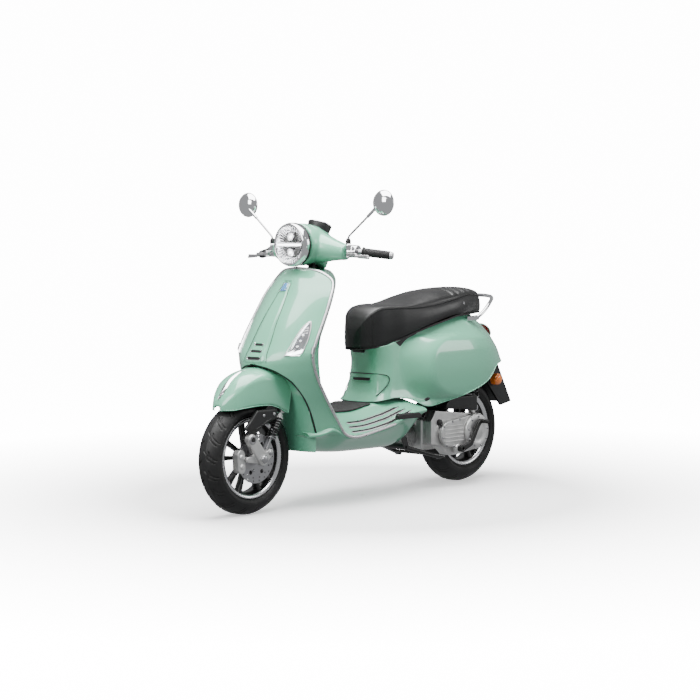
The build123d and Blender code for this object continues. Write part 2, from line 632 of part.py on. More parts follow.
with BuildPart() as front_shock_body:
    drum(SHOCK_TOP, 14, 74, 86)
    rod(along(SHOCK_FOOT, SHOCK_TOP, 105, FORK_SHOCK_Y), along(SHOCK_FOOT, SHOCK_TOP, 168, FORK_SHOCK_Y), 12.5)
    rod(along(SHOCK_FOOT, SHOCK_TOP, 166, FORK_SHOCK_Y), along(SHOCK_FOOT, SHOCK_TOP, 182, FORK_SHOCK_Y), 6)
    rod(along(SHOCK_FOOT, SHOCK_TOP, 151, FORK_SHOCK_Y), along(SHOCK_FOOT, SHOCK_TOP, 155, FORK_SHOCK_Y), 19)
    rod(along(SHOCK_FOOT, SHOCK_TOP, 104, FORK_SHOCK_Y), along(SHOCK_FOOT, SHOCK_TOP, 164, FORK_SHOCK_Y), 9.5,
        mode=Mode.SUBTRACT)
    drum(SHOCK_TOP, 7.05, 60, 100, mode=Mode.SUBTRACT)
front_shock_body.part.label = "front_shock_body"
export_step(front_shock_body.part, "parts/front_shock_body.step")


def make_spring(foot, top, low, high, y, radius, wire, turns):
    """Wind a coil spring round a shock's axis, inside the current part."""
    start = along(foot, top, low + wire, y)
    run = along(foot, top, high - wire, y) - start
    place = Plane(origin=start, z_dir=run)
    coil = place.location * Helix(run.length / turns, run.length, radius)
    with BuildSketch(Plane(origin=coil @ 0, z_dir=coil % 0)) as section:
        Circle(wire)
    sweep(section.sketch, path=coil, is_frenet=True)


with BuildPart() as front_spring:
    make_spring(SHOCK_FOOT, SHOCK_TOP, 65.4, 150.6, FORK_SHOCK_Y, 16.2, 2.6, 6)
front_spring.part.label = "front_spring"
export_step(front_spring.part, "parts/front_spring.step")

# ---- steering: column, crown and single leg on the left ----
LEG_Y = (72.0, 86.0)
with BuildPart() as fork:
    rod(steer_point(-540), steer_point(76), COLUMN_R)
    prism([(520, 500), (528, 509), (575, 510), (596, 500), (590, 491), (530, 490)], -20, LEG_Y[0])
    prism([(560, 466), (560, 500), (596, 500), (602, 466)], 57, LEG_Y[0])
    link((586, 470), ARM_PIVOT, 18, 19, *LEG_Y)
    link((626, 440), SHOCK_TOP, 14, 12, 64, 73)
    drum(SHOCK_TOP, 7, 64, 87)
    drum(ARM_PIVOT, PIN_R, 80, 118)
fork.part.label = "fork"
export_step(fork.part, "parts/fork.step")

with BuildPart() as fork_cover:
    prism([(614, 384), (650, 376), (738, 346), (768, 342), (792, 354), (740, 404), (722, 424), (614, 424)],
          LEG_Y[1] + GAP, 103)
    drum(ARM_PIVOT, 29, 80, 120, mode=Mode.SUBTRACT)
    fillet(fork_cover.edges().filter_by(Axis.Y), 5)
fork_cover.part.label = "fork_cover"
export_step(fork_cover.part, "parts/fork_cover.step")

# front fender: station x: (crown z, lower edge z, half width)
FENDER = [(850, (445, 429, 24)), (822, (493, 430, 52)), (772, (545, 437, 78)), (702, (577, 441, 92)),
          (640, (587, 441, 94)), (570, (578, 418, 94)), (520, (556, 412, 92)), (492, (525, 480, 88))]
FENDER_SKIN = 3.0


def fender_section(x, crown, low, half, inset, drop):
    """One station of the fender."""
    tall = crown - low
    half = half - inset
    crown = crown - inset
    profile = [(0.5, 0.12), (0.85, 0.30), (1.0, 0.55)]
    left = [(half * w, crown - tall * d) for w, d in profile] + [(half, low - drop)]
    right = [(-y, z) for y, z in reversed(left)]
    with BuildSketch(Plane.YZ.offset(x)) as station:
        with BuildLine():
            Polyline((0, crown), *left, *right, close=True)
        make_face()
    return station.sketch


with BuildPart() as front_fender:
    loft([fender_section(x, *values, 0.0, 0.0) for x, values in FENDER], ruled=True)
    hollow = [(FENDER[0][0] - 3, FENDER[0][1])] + FENDER[1:-1] + [(FENDER[-1][0] - 3, FENDER[-1][1])]
    loft([fender_section(x, *values, FENDER_SKIN, 12.0) for x, values in hollow], ruled=True, mode=Mode.SUBTRACT)
    rod(steer_point(-560), steer_point(-400), 24, mode=Mode.SUBTRACT)
front_fender.part.label = "front_fender"
export_step(front_fender.part, "parts/front_fender.step")

# headset: a bulb round the headlight with two tapering arms and a neck
LAMP_Z = 1076.0
BULB = [(419, 83), (380, 85), (337, 84), (290, 76), (240, 60), (208, 38)]


def spin_x(profile, y, z, mode=Mode.ADD):
    """Revolve (x, radius) points about a line along X."""
    with BuildSketch(Plane.XY.offset(z)) as section:
        with BuildLine():
            points = [(x, y + r) for x, r in profile]
            Polyline((profile[0][0], y), *points, (profile[-1][0], y), close=True)
        make_face()
    revolve(section.sketch, axis=Axis((0, y, z), (1, 0, 0)), mode=mode)


def arm_cone(side, shrink, mode=Mode.ADD):
    """A tapering arm of the headset."""
    root = Vector(300, side * 40, 1060)
    tip = Vector(306, side * 196, 1044)
    run = tip - root
    with BuildSketch(Plane(origin=root, z_dir=run)) as wide:
        Circle(46 - shrink)
    with BuildSketch(Plane(origin=tip + run.normalized() * shrink * 0.4, z_dir=run)) as narrow:
        Circle(33 - shrink)
    loft([wide.sketch, narrow.sketch], mode=mode)


with BuildPart() as headset_shell:
    spin_x(BULB, 0, LAMP_Z)
    for side in (-1, 1):
        arm_cone(side, 0)
    rod(steer_point(17), steer_point(80), 57)
    spin_x([(BULB[0][0] + 2, 80)] + [(x, r - 3) for x, r in BULB[:-1]] + [(212, 34)], 0, LAMP_Z, Mode.SUBTRACT)
    for side in (-1, 1):
        arm_cone(side, 3, Mode.SUBTRACT)
    rod(steer_point(12), steer_point(78), 54, mode=Mode.SUBTRACT)
    rod((275, 0, 1105), (245, 0, 1175), 49, mode=Mode.SUBTRACT)
    rod(steer_point(-5), steer_point(30), 24, mode=Mode.SUBTRACT)
headset_shell.part.label = "headset_shell"
export_step(headset_shell.part, "parts/headset_shell.step")

with BuildPart() as headlight_ring:
    spin_x([(419.5, 87), (432, 87), (439, 82), (439, 77)], 0, LAMP_Z)
    spin_x([(415, 79), (430, 79), (430, 77), (445, 77)], 0, LAMP_Z, Mode.SUBTRACT)
headlight_ring.part.label = "headlight_ring"
export_step(headlight_ring.part, "parts/headlight_ring.step")

with BuildPart() as headlight_lens:
    spin_x([(425, 76), (433, 76), (441, 62), (446, 36), (447.5, 8)], 0, LAMP_Z)
    spin_x([(420, 73), (430, 73), (438, 60), (443, 35), (444.5, 8)], 0, LAMP_Z, Mode.SUBTRACT)
headlight_lens.part.label = "headlight_lens"
export_step(headlight_lens.part, "parts/headlight_lens.step")

with BuildPart() as instrument_cluster:
    rod((268, 0, 1123), (253, 0, 1158), 48)
instrument_cluster.part.label = "instrument_cluster"
export_step(instrument_cluster.part, "parts/instrument_cluster.step")

# handlebar tube with bar-end weights and the clamp on the column
BAR_R = 11.0
BAR_BEND = Vector(284, 250, 1047)
BAR_RUN = Vector(-55, 118, -16)


def bar_point(distance, side):
    """A point along the straight outer stretch of the bar."""
    p = BAR_BEND + BAR_RUN.normalized() * distance
    return Vector(p.X, side * p.Y, p.Z)


BAR_END = 131.0
with BuildPart() as handlebar:
    tube([bar_point(BAR_END, 1), (284, 250, 1047), (300, 170, 1052), (300, -170, 1052), (284, -250, 1047),
          bar_point(BAR_END, -1)], 40, BAR_R)
    for side in (-1, 1):
        rod(bar_point(BAR_END - 1, side), bar_point(BAR_END + 10, side), 14.5)
    with Locations((284, 0, 1051)):
        Box(70, 44, 36)
    rod(steer_point(20), steer_point(120), COLUMN_R + 0.1, mode=Mode.SUBTRACT)
handlebar.part.label = "handlebar"
export_step(handlebar.part, "parts/handlebar.step")

GRIP_R = 16.5
GRIP_RUN = (14.0, 129.0)
with BuildPart() as grip_left:
    rod(bar_point(GRIP_RUN[0], 1), bar_point(GRIP_RUN[1], 1), GRIP_R)
    rod(bar_point(GRIP_RUN[0] - 1, 1), bar_point(GRIP_RUN[1] + 1, 1), BAR_R + 0.02, mode=Mode.SUBTRACT)
grip_left.part.label = "grip_left"
export_step(grip_left.part, "parts/grip_left.step")

with BuildPart() as throttle_grip:
    rod(bar_point(GRIP_RUN[0], -1), bar_point(GRIP_RUN[1], -1), GRIP_R)
    rod(bar_point(GRIP_RUN[0], -1), bar_point(GRIP_RUN[0] + 4, -1), 21)
    rod(bar_point(GRIP_RUN[0] - 1, -1), bar_point(GRIP_RUN[1] + 1, -1), BAR_R + 0.06, mode=Mode.SUBTRACT)
throttle_grip.part.label = "throttle_grip"
export_step(throttle_grip.part, "parts/throttle_grip.step")

# switch housings with lever brackets and mirror bosses
LEVER_PIVOT = (330.0, 232.0)
LEVER_Z = 1036.0
MIRROR_BASE = (315.0, 217.0)
BUTTON_Z = 1050.0


def slab(a, b, radius_a, radius_b, low, high, mode=Mode.ADD):
    """Add a flat link, the hull of two circles in the X-Y plane."""
    with BuildSketch(Plane.XY.offset(low)) as profile:
        with Locations(a):
            Circle(radius_a)
        with Locations(b):
            Circle(radius_b)
        make_hull()
    extrude(profile.sketch, amount=high - low, mode=mode)


with BuildPart() as switch_housings:
    rod((293, 205, 1049.7), (285, 245, 1047.2), 26)
    rod((*MIRROR_BASE, 1050), (*MIRROR_BASE, 1076), 11)
    slab((300, 226), LEVER_PIVOT, 18, 13, 1023, 1028)
    slab((300, 226), LEVER_PIVOT, 18, 13, 1044, 1049)
    rod((*LEVER_PIVOT, 1024), (*LEVER_PIVOT, 1048), 4)
    rod((294, 200, 1050), (284, 250, 1046.9), BAR_R + 0.4, mode=Mode.SUBTRACT)
    rod((245, 226, BUTTON_Z), (277, 226, BUTTON_Z), 6.4, mode=Mode.SUBTRACT)
    mirror(about=Plane.XZ)
switch_housings.part.label = "switch_housings"
export_step(switch_housings.part, "parts/switch_housings.step")


def make_lever(side):
    """A brake lever: an eye on its pivot pin, a curved blade and a ball end."""
    y = LEVER_PIVOT[1]
    rod((LEVER_PIVOT[0], side * y, 1028.6), (LEVER_PIVOT[0], side * y, 1043.4), 11)
    slab((LEVER_PIVOT[0] + 2, side * (y + 6)), (340, side * 280), 8, 6.5, 1029, 1041)
    slab((340, side * 280), (332, side * 338), 6.5, 5.5, 1023, 1034)
    rod((336, side * 290, 1026), (332, side * 345, 1022), 5.5)
    rod((LEVER_PIVOT[0], side * y, 1020), (LEVER_PIVOT[0], side * y, 1050), 4.05, mode=Mode.SUBTRACT)


with BuildPart() as brake_lever_left:
    make_lever(1)
brake_lever_left.part.label = "brake_lever_left"
export_step(brake_lever_left.part, "parts/brake_lever_left.step")

with BuildPart() as brake_lever_right:
    make_lever(-1)
brake_lever_right.part.label = "brake_lever_right"
export_step(brake_lever_right.part, "parts/brake_lever_right.step")

with BuildPart() as horn_button:
    rod((256, 226, BUTTON_Z), (271, 226, BUTTON_Z), 6)
horn_button.part.label = "horn_button"
export_step(horn_button.part, "parts/horn_button.step")

with BuildPart() as starter_button:
    rod((256, -226, BUTTON_Z), (271, -226, BUTTON_Z), 6)
starter_button.part.label = "starter_button"
export_step(starter_button.part, "parts/starter_button.step")

MIRROR_HEAD = (387.0, 1242.0)
MIRROR_R = 52.0


def make_mirror(side):
    """A stalked mirror with a round domed head facing back."""
    x, y = MIRROR_BASE
    rod((x, side * y, 1076.6), (x, side * y, 1094), 11)
    tube([(x, side * y, 1090), (x, side * (y + 3), 1108), (x - 3, side * 345, 1212), (308, side * 376, 1233)],
         [16, 20], 4.5)
    spin_x([(284, 50), (287, MIRROR_R), (299, 50), (310, 38), (317, 20), (318.5, 6)], side * MIRROR_HEAD[0],
           MIRROR_HEAD[1])


with BuildPart() as mirror_left:
    make_mirror(1)
mirror_left.part.label = "mirror_left"
export_step(mirror_left.part, "parts/mirror_left.step")

with BuildPart() as mirror_right:
    make_mirror(-1)
mirror_right.part.label = "mirror_right"
export_step(mirror_right.part, "parts/mirror_right.step")

# ---- engine: a swinging unit with the transmission on the left ----
CASE_Y = (78.0, 132.0)
with BuildPart() as engine_case:
    prism([(-300, 300), (-330, 345), (-560, 318), (-640, 312), (-692, 262), (-690, 205), (-640, 158),
           (-560, 150), (-480, 140), (-420, 142), (-370, 185), (-300, 200)], *CASE_Y)
    prism([(-385, 170), (-292, 170), (-292, 305), (-385, 305)], -68, 80)
    drum((-338, 236), 60, -92, -66)
    link(ENGINE_PIVOT, (-322, 290), 21, 24, -50, 50)
    drum(REAR_AXLE, 75, 59, 80)
    drum(REAR_AXLE, OUTPUT_R, -30, 62)
    link((-640, 298), REAR_SHOCK_FOOT, 18, 13, 80, 91)
    drum(REAR_SHOCK_FOOT, 7, 84, 110)
    drum(ENGINE_PIVOT, 8.05, -70, 70, mode=Mode.SUBTRACT)
engine_case.part.label = "engine_case"
export_step(engine_case.part, "parts/engine_case.step")

KICK_SHAFT = (-455.0, 172.0)
with BuildPart() as cvt_cover:
    link((-577, 238), (-402, 240), 80, 58, CASE_Y[1] + 0.4, 158)
    drum((-577, 238), 78, 156, 170)
    drum(KICK_SHAFT, 18, CASE_Y[1] + 0.4, 158)
    drum(KICK_SHAFT, 7, 150, 190)
cvt_cover.part.label = "cvt_cover"
export_step(cvt_cover.part, "parts/cvt_cover.step")

with BuildPart() as cylinder:
    rod((-291.5, 0, 228), (-220, 0, 228), 40)
    for step in range(7):
        rod((-288 + step * 8, 0, 228), (-285 + step * 8, 0, 228), 50)
    rod((-234, 0, 228), (-222, 0, 228), 46)
cylinder.part.label = "cylinder"
export_step(cylinder.part, "parts/cylinder.step")

with BuildPart() as airbox:
    prism([(-385, 350), (-385, 372), (-425, 398), (-598, 398), (-598, 328), (-480, 341)], 84, 148)
    fillet(airbox.edges().filter_by(Axis.Y), 8)
airbox.part.label = "airbox"
export_step(airbox.part, "parts/airbox.step")

with BuildPart() as exhaust:
    rod((-450, -132, 216), (-735, -132, 262), 46)
    tube([(-256, -54, 207), (-256, -102, 207), (-330, -134, 202), (-460, -132, 218)], [18, 30], 13)
exhaust.part.label = "exhaust"
export_step(exhaust.part, "parts/exhaust.step")

KICK_Y = (174.0, 186.0)
with BuildPart() as kick_lever:
    drum(KICK_SHAFT, 15, 162, KICK_Y[1])
    link(KICK_SHAFT, (-513, 190), 13, 10, *KICK_Y)
    link((-513, 190), (-560, 262), 10, 9, *KICK_Y)
    link((-560, 262), (-580, 284), 9, 9, *KICK_Y)
    drum((-580, 284), 9, KICK_Y[0], 226)
    drum(KICK_SHAFT, 7.05, 150, 200, mode=Mode.SUBTRACT)
kick_lever.part.label = "kick_lever"
export_step(kick_lever.part, "parts/kick_lever.step")

REAR_SHOCK_Y = 100.0


def on_rear_shock(distance):
    """A point on the rear shock's axis."""
    return along(REAR_SHOCK_FOOT, REAR_SHOCK_TOP, distance, REAR_SHOCK_Y)


with BuildPart() as rear_shock_rod:
    drum(REAR_SHOCK_FOOT, 14, 93, 107)
    rod(on_rear_shock(10), on_rear_shock(150), 6)
    rod(on_rear_shock(50), on_rear_shock(54), 25)
    drum(REAR_SHOCK_FOOT, 7.05, 90, 110, mode=Mode.SUBTRACT)
rear_shock_rod.part.label = "rear_shock_rod"
export_step(rear_shock_rod.part, "parts/rear_shock_rod.step")

with BuildPart() as rear_shock_body:
    drum(REAR_SHOCK_TOP, 14, 93, 107)
    rod(on_rear_shock(122), on_rear_shock(218), 15)
    rod(on_rear_shock(195), on_rear_shock(199), 25)
    rod(on_rear_shock(121), on_rear_shock(206), 11, mode=Mode.SUBTRACT)
    drum(REAR_SHOCK_TOP, 7.05, 90, 110, mode=Mode.SUBTRACT)
rear_shock_body.part.label = "rear_shock_body"
export_step(rear_shock_body.part, "parts/rear_shock_body.step")

with BuildPart() as rear_spring:
    make_spring(REAR_SHOCK_FOOT, REAR_SHOCK_TOP, 54.4, 194.6, REAR_SHOCK_Y, 20.5, 3.5, 8)
rear_spring.part.label = "rear_spring"
export_step(rear_spring.part, "parts/rear_spring.step")

# ---- centre stand, folded back under the engine ----
FOOT_X = -366.0
FOOT_Z = 140.4
with BuildPart() as centre_stand:
    drum(STAND_PIVOT, 12, -76, 76)
    for side in (-1, 1):
        rod((-190, side * 64, 195), (FOOT_X, side * 118, FOOT_Z), 9.5)
        drum((FOOT_X, FOOT_Z), 10, *sorted((side * 106, side * 130)))
    rod((-318, -100, 155.3), (-318, 100, 155.3), 7)
    rod((-330, 108, 151), (-362, 158, 143), 6)
    drum(STAND_PIVOT, 6.05, -90, 90, mode=Mode.SUBTRACT)
centre_stand.part.label = "centre_stand"
export_step(centre_stand.part, "parts/centre_stand.step")


def make_peg(side):
    """A passenger footpeg folded forward along the body."""
    x, y = PEG_PIVOT
    rod((x, side * y, PEG_Z - 12.4), (x, side * y, PEG_Z + 12.4), 9)
    with Locations((-46, side * 215, PEG_Z)):
        Box(134, 20, 20)
    rod((x, side * y, PEG_Z - 20), (x, side * y, PEG_Z + 20), 4.05, mode=Mode.SUBTRACT)


with BuildPart() as footpeg_left:
    make_peg(1)
footpeg_left.part.label = "footpeg_left"
export_step(footpeg_left.part, "parts/footpeg_left.step")

with BuildPart() as footpeg_right:
    make_peg(-1)
footpeg_right.part.label = "footpeg_right"
export_step(footpeg_right.part, "parts/footpeg_right.step")
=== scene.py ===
"""Looks for the moped scooter: paint, chrome, castings, tyres, seat and lamps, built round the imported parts.

Lengths are millimetres in the part's frame (+X forward, +Y rider's left, +Z up) and become metres in mesh().
"""
import json
from bisect import bisect_right
from math import cos, exp, hypot, pi, radians, sin

import bmesh
import bpy
from mathutils import Matrix, Vector


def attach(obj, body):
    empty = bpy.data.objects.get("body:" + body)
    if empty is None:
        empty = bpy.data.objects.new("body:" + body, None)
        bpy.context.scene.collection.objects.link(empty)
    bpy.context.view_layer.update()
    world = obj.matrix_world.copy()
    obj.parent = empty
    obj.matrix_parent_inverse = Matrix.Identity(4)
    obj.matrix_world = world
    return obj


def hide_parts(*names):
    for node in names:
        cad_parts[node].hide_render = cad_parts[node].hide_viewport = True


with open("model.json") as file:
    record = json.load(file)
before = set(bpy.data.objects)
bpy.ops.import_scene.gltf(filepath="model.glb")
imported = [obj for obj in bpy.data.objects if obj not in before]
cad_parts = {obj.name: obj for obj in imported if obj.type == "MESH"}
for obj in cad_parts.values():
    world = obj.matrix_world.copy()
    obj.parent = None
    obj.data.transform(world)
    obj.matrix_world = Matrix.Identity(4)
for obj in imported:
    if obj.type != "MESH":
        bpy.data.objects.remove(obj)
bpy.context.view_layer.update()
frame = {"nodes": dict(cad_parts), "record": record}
MM = 0.001

# ---------------------------------------------------------------- camera
CAMERA_AT = (5.965, 5.455, 1.161)
CAMERA_TURN = radians(42.80)
CAMERA_DIP = radians(3.81)
CAMERA_ROLL = radians(-0.35)
LENS = 97.75


def make_camera():
    """A long lens, level with the bars, on the rider's front left."""
    data = bpy.data.cameras.new("camera")
    data.lens = LENS
    data.sensor_width = 36.0
    data.clip_end = 60.0
    camera = bpy.data.objects.new("camera", data)
    look = Vector((-cos(CAMERA_TURN) * cos(CAMERA_DIP), -sin(CAMERA_TURN) * cos(CAMERA_DIP), -sin(CAMERA_DIP)))
    turn = look.to_track_quat("-Z", "Y").to_matrix() @ Matrix.Rotation(CAMERA_ROLL, 3, "Z")
    camera.location = CAMERA_AT
    camera.rotation_euler = turn.to_euler()
    bpy.context.scene.collection.objects.link(camera)
    bpy.context.scene.camera = camera


make_camera()


# ---------------------------------------------------------------- materials
def new_material(name, color, metallic=0.0, roughness=0.5, **more):
    """A principled material whose plain values sit on the shader's own sockets."""
    made = bpy.data.materials.new(name)
    made.use_nodes = True
    shader = made.node_tree.nodes["Principled BSDF"]
    shader.inputs["Base Color"].default_value = (*color, 1.0)
    shader.inputs["Metallic"].default_value = metallic
    shader.inputs["Roughness"].default_value = roughness
    for socket, value in more.items():
        shader.inputs[socket.replace("_", " ").title().replace("Ior", "IOR")].default_value = value
    return made


def noise_node(made, scale, detail=3.0, stretch=(1, 1, 1)):
    """Noise in the piece's own space."""
    nodes = made.node_tree.nodes
    links = made.node_tree.links
    place = nodes.new("ShaderNodeTexCoord")
    mapping = nodes.new("ShaderNodeMapping")
    mapping.inputs["Scale"].default_value = stretch
    noise = nodes.new("ShaderNodeTexNoise")
    noise.inputs["Scale"].default_value = scale
    noise.inputs["Detail"].default_value = detail
    links.new(place.outputs["Object"], mapping.inputs["Vector"])
    links.new(mapping.outputs["Vector"], noise.inputs["Vector"])
    return noise


def add_bump(made, height, strength, distance):
    """Bump the surface by a height output, stacked on any earlier bump."""
    nodes = made.node_tree.nodes
    links = made.node_tree.links
    shader = nodes["Principled BSDF"]
    bump = nodes.new("ShaderNodeBump")
    bump.inputs["Strength"].default_value = strength
    bump.inputs["Distance"].default_value = distance
    links.new(height, bump.inputs["Height"])
    if shader.inputs["Normal"].is_linked:
        links.new(shader.inputs["Normal"].links[0].from_socket, bump.inputs["Normal"])
    links.new(bump.outputs["Normal"], shader.inputs["Normal"])


def vary(made, socket, noise, low, high):
    """Drive a socket between two values by noise."""
    nodes = made.node_tree.nodes
    links = made.node_tree.links
    ramp = nodes.new("ShaderNodeValToRGB")
    ends = ramp.color_ramp.elements
    ends[0].position = 0.35
    ends[1].position = 0.65
    ends[0].color = (*low, 1.0) if isinstance(low, tuple) else (low, low, low, 1.0)
    ends[1].color = (*high, 1.0) if isinstance(high, tuple) else (high, high, high, 1.0)
    links.new(noise.outputs["Fac"], ramp.inputs["Fac"])
    links.new(ramp.outputs["Color"], nodes["Principled BSDF"].inputs[socket])


def paint():
    made = new_material("mint_paint", (0.17, 0.51, 0.33), 0.0, 0.26, coat_weight=1.0, coat_roughness=0.04)
    vary(made, "Base Color", noise_node(made, 2.5, 2.0), (0.166, 0.502, 0.323), (0.174, 0.518, 0.337))
    add_bump(made, noise_node(made, 900.0, 1.0).outputs["Fac"], 0.03, 0.0002)
    return made


def chrome():
    made = new_material("chrome", (0.82, 0.82, 0.83), 1.0, 0.07)
    vary(made, "Roughness", noise_node(made, 30.0), 0.05, 0.10)
    return made


def satin():
    made = new_material("satin_silver", (0.66, 0.65, 0.66), 1.0, 0.32)
    vary(made, "Roughness", noise_node(made, 60.0), 0.27, 0.36)
    return made


def cast_alloy():
    made = new_material("cast_alloy", (0.66, 0.66, 0.65), 1.0, 0.46)
    vary(made, "Base Color", noise_node(made, 14.0, 5.0), (0.60, 0.60, 0.59), (0.72, 0.72, 0.71))
    vary(made, "Roughness", noise_node(made, 40.0, 4.0), 0.40, 0.54)
    add_bump(made, noise_node(made, 700.0, 2.0).outputs["Fac"], 0.25, 0.0004)
    return made


def rim_alloy():
    made = new_material("rim_alloy", (0.74, 0.74, 0.75), 1.0, 0.24)
    vary(made, "Roughness", noise_node(made, 80.0), 0.20, 0.30)
    return made


def steel():
    made = new_material("brushed_steel", (0.42, 0.42, 0.43), 1.0, 0.34)
    vary(made, "Roughness", noise_node(made, 120.0, 4.0), 0.28, 0.42)
    add_bump(made, noise_node(made, 260.0, 2.0, (1, 8, 1)).outputs["Fac"], 0.08, 0.0002)
    return made


def black_paint():
    made = new_material("black_paint", (0.007, 0.007, 0.007), 0.0, 0.38, coat_weight=0.3, coat_roughness=0.25)
    vary(made, "Roughness", noise_node(made, 25.0, 4.0), 0.34, 0.46)
    add_bump(made, noise_node(made, 500.0, 2.0).outputs["Fac"], 0.08, 0.0002)
    return made


def black_plastic():
    made = new_material("black_plastic", (0.007, 0.007, 0.007), 0.0, 0.48)
    vary(made, "Roughness", noise_node(made, 18.0, 4.0), 0.42, 0.56)
    add_bump(made, noise_node(made, 1200.0, 2.0).outputs["Fac"], 0.25, 0.0003)
    return made


def rubber():
    made = new_material("black_rubber", (0.008, 0.008, 0.008), 0.0, 0.66)
    vary(made, "Base Color", noise_node(made, 40.0, 4.0), (0.006, 0.006, 0.006), (0.012, 0.012, 0.012))
    add_bump(made, noise_node(made, 900.0, 2.0).outputs["Fac"], 0.2, 0.0003)
    return made


def tyre_rubber():
    made = new_material("tyre_rubber", (0.020, 0.020, 0.021), 0.0, 0.58)
    vary(made, "Base Color", noise_node(made, 22.0, 5.0), (0.005, 0.005, 0.005), (0.011, 0.011, 0.011))
    vary(made, "Roughness", noise_node(made, 12.0, 4.0), 0.50, 0.68)
    add_bump(made, noise_node(made, 800.0, 3.0).outputs["Fac"], 0.25, 0.0004)
    return made


def leather():
    made = new_material("seat_leather", (0.006, 0.006, 0.006), 0.0, 0.42)
    nodes = made.node_tree.nodes
    grain = nodes.new("ShaderNodeTexVoronoi")
    grain.inputs["Scale"].default_value = 520.0
    place = nodes.new("ShaderNodeTexCoord")
    made.node_tree.links.new(place.outputs["Object"], grain.inputs["Vector"])
    add_bump(made, grain.outputs["Distance"], 0.35, 0.0004)
    vary(made, "Roughness", noise_node(made, 9.0, 5.0), 0.36, 0.50)
    add_bump(made, noise_node(made, 24.0, 3.0).outputs["Fac"], 0.10, 0.002)
    return made


def clear_glass():
    made = new_material("clear_lens", (0.97, 0.98, 0.99), 0.0, 0.03, transmission_weight=1.0, ior=1.3)
    add_bump(made, noise_node(made, 60.0).outputs["Fac"], 0.02, 0.0005)
    return made


def lens(name, color):
    made = new_material(name, color, 0.0, 0.16, coat_weight=1.0, coat_roughness=0.05)
    nodes = made.node_tree.nodes
    wave = nodes.new("ShaderNodeTexWave")
    wave.inputs["Scale"].default_value = 70.0
    place = nodes.new("ShaderNodeTexCoord")
    made.node_tree.links.new(place.outputs["Object"], wave.inputs["Vector"])
    add_bump(made, wave.outputs["Fac"], 0.25, 0.001)
    return made


def badge_blue():
    made = new_material("badge_blue", (0.10, 0.32, 0.62), 0.3, 0.25, coat_weight=1.0)
    vary(made, "Base Color", noise_node(made, 40.0), (0.08, 0.28, 0.58), (0.14, 0.38, 0.68))
    return made


def mirror_glass():
    made = new_material("mirror_glass", (0.72, 0.74, 0.76), 1.0, 0.02)
    vary(made, "Roughness", noise_node(made, 20.0), 0.015, 0.03)
    return made


MATERIALS = {
    "body_paint": paint(),
    "chrome_plate": chrome(),
    "satin_trim": satin(),
    "cast_alloy": cast_alloy(),
    "rim_alloy": rim_alloy(),
    "bare_steel": steel(),
    "black_steel": black_paint(),
    "black_plastic": black_plastic(),
    "black_rubber": rubber(),
    "tyre_rubber": tyre_rubber(),
    "seat_leather": leather(),
    "clear_lens": clear_glass(),
    "amber_lens": lens("amber_lens", (0.95, 0.22, 0.015)),
    "red_lens": lens("red_lens", (0.62, 0.02, 0.03)),
}
BADGE = badge_blue()
MIRROR = mirror_glass()

for row in frame["record"]["subparts"]:
    node = frame["nodes"][row["node"]]
    node.data.materials.clear()
    node.data.materials.append(MATERIALS[row["material_slot"]])


# ---------------------------------------------------------------- small geometry tools
def smooth(table, t):
    """Value at t of a smooth curve through (t, value) pairs with t rising."""
    at = [p[0] for p in table]
    value = [p[1] for p in table]
    t = min(max(t, at[0]), at[-1])
    i = min(bisect_right(at, t) - 1, len(at) - 2)

    def slope(k):
        """Slope at a knot that never overshoots."""
        if k == 0 or k == len(at) - 1:
            k = min(k, len(at) - 2)
            return (value[k + 1] - value[k]) / (at[k + 1] - at[k])
        before = (value[k] - value[k - 1]) / (at[k] - at[k - 1])
        after = (value[k + 1] - value[k]) / (at[k + 1] - at[k])
        return 0.0 if before * after <= 0 else 2 * before * after / (before + after)

    span = at[i + 1] - at[i]
    u = (t - at[i]) / span
    return (value[i] * (1 + 2 * u) * (1 - u) ** 2 + value[i + 1] * u * u * (3 - 2 * u)
            + span * (slope(i) * u * (1 - u) ** 2 - slope(i + 1) * u * u * (1 - u)))


def spread(low, high, count):
    """Evenly spaced values from low to high."""
    return [low + (high - low) * i / (count - 1) for i in range(count)]


def ease(t):
    """Smooth step from 0 to 1."""
    t = min(max(t, 0.0), 1.0)
    return t * t * (3 - 2 * t)


def mesh(name, points, faces, body, slot, nodes=(), material=None):
    """Make a smooth-shaded piece that rides on a body."""
    data = bpy.data.meshes.new(name)
    data.from_pydata([Vector(p) * MM for p in points], [], faces)
    work = bmesh.new()
    work.from_mesh(data)
    bmesh.ops.remove_doubles(work, verts=work.verts, dist=0.00005)
    bmesh.ops.recalc_face_normals(work, faces=work.faces)
    work.to_mesh(data)
    work.free()
    piece = bpy.data.objects.new(name, data)
    bpy.context.scene.collection.objects.link(piece)
    return dress(piece, body, slot, nodes, material)


def dress(piece, body, slot, nodes=(), material=None):
    """Give a piece its material, picked by slot unless one is given, its body and smooth shading, and hide the CAD
    nodes it stands for.
    """
    piece.data.materials.clear()
    piece.data.materials.append(material or MATERIALS[slot])
    if piece.type == "MESH":
        for face in piece.data.polygons:
            face.use_smooth = True
    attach(piece, body)
    if nodes:
        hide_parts(*nodes)
    return piece


def strips(rows, wrap=False):
    """Points and quads of rows of equal length; wrap closes each row."""
    wide = len(rows[0])
    points = [p for row in rows for p in row]
    faces = []
    for i in range(len(rows) - 1):
        for j in range(wide if wrap else wide - 1):
            k = (j + 1) % wide
            faces.append((i * wide + j, i * wide + k, (i + 1) * wide + k, (i + 1) * wide + j))
    return points, faces


def skin(name, rows, body, slot, nodes=(), wrap=False, caps=False, material=None):
    """A surface through rows of points, its end rows closed when asked."""
    points, faces = strips(rows, wrap)
    if caps:
        wide = len(rows[0])
        faces.append(tuple(range(wide)))
        faces.append(tuple((len(rows) - 1) * wide + j for j in range(wide)))
    return mesh(name, points, faces, body, slot, nodes, material)


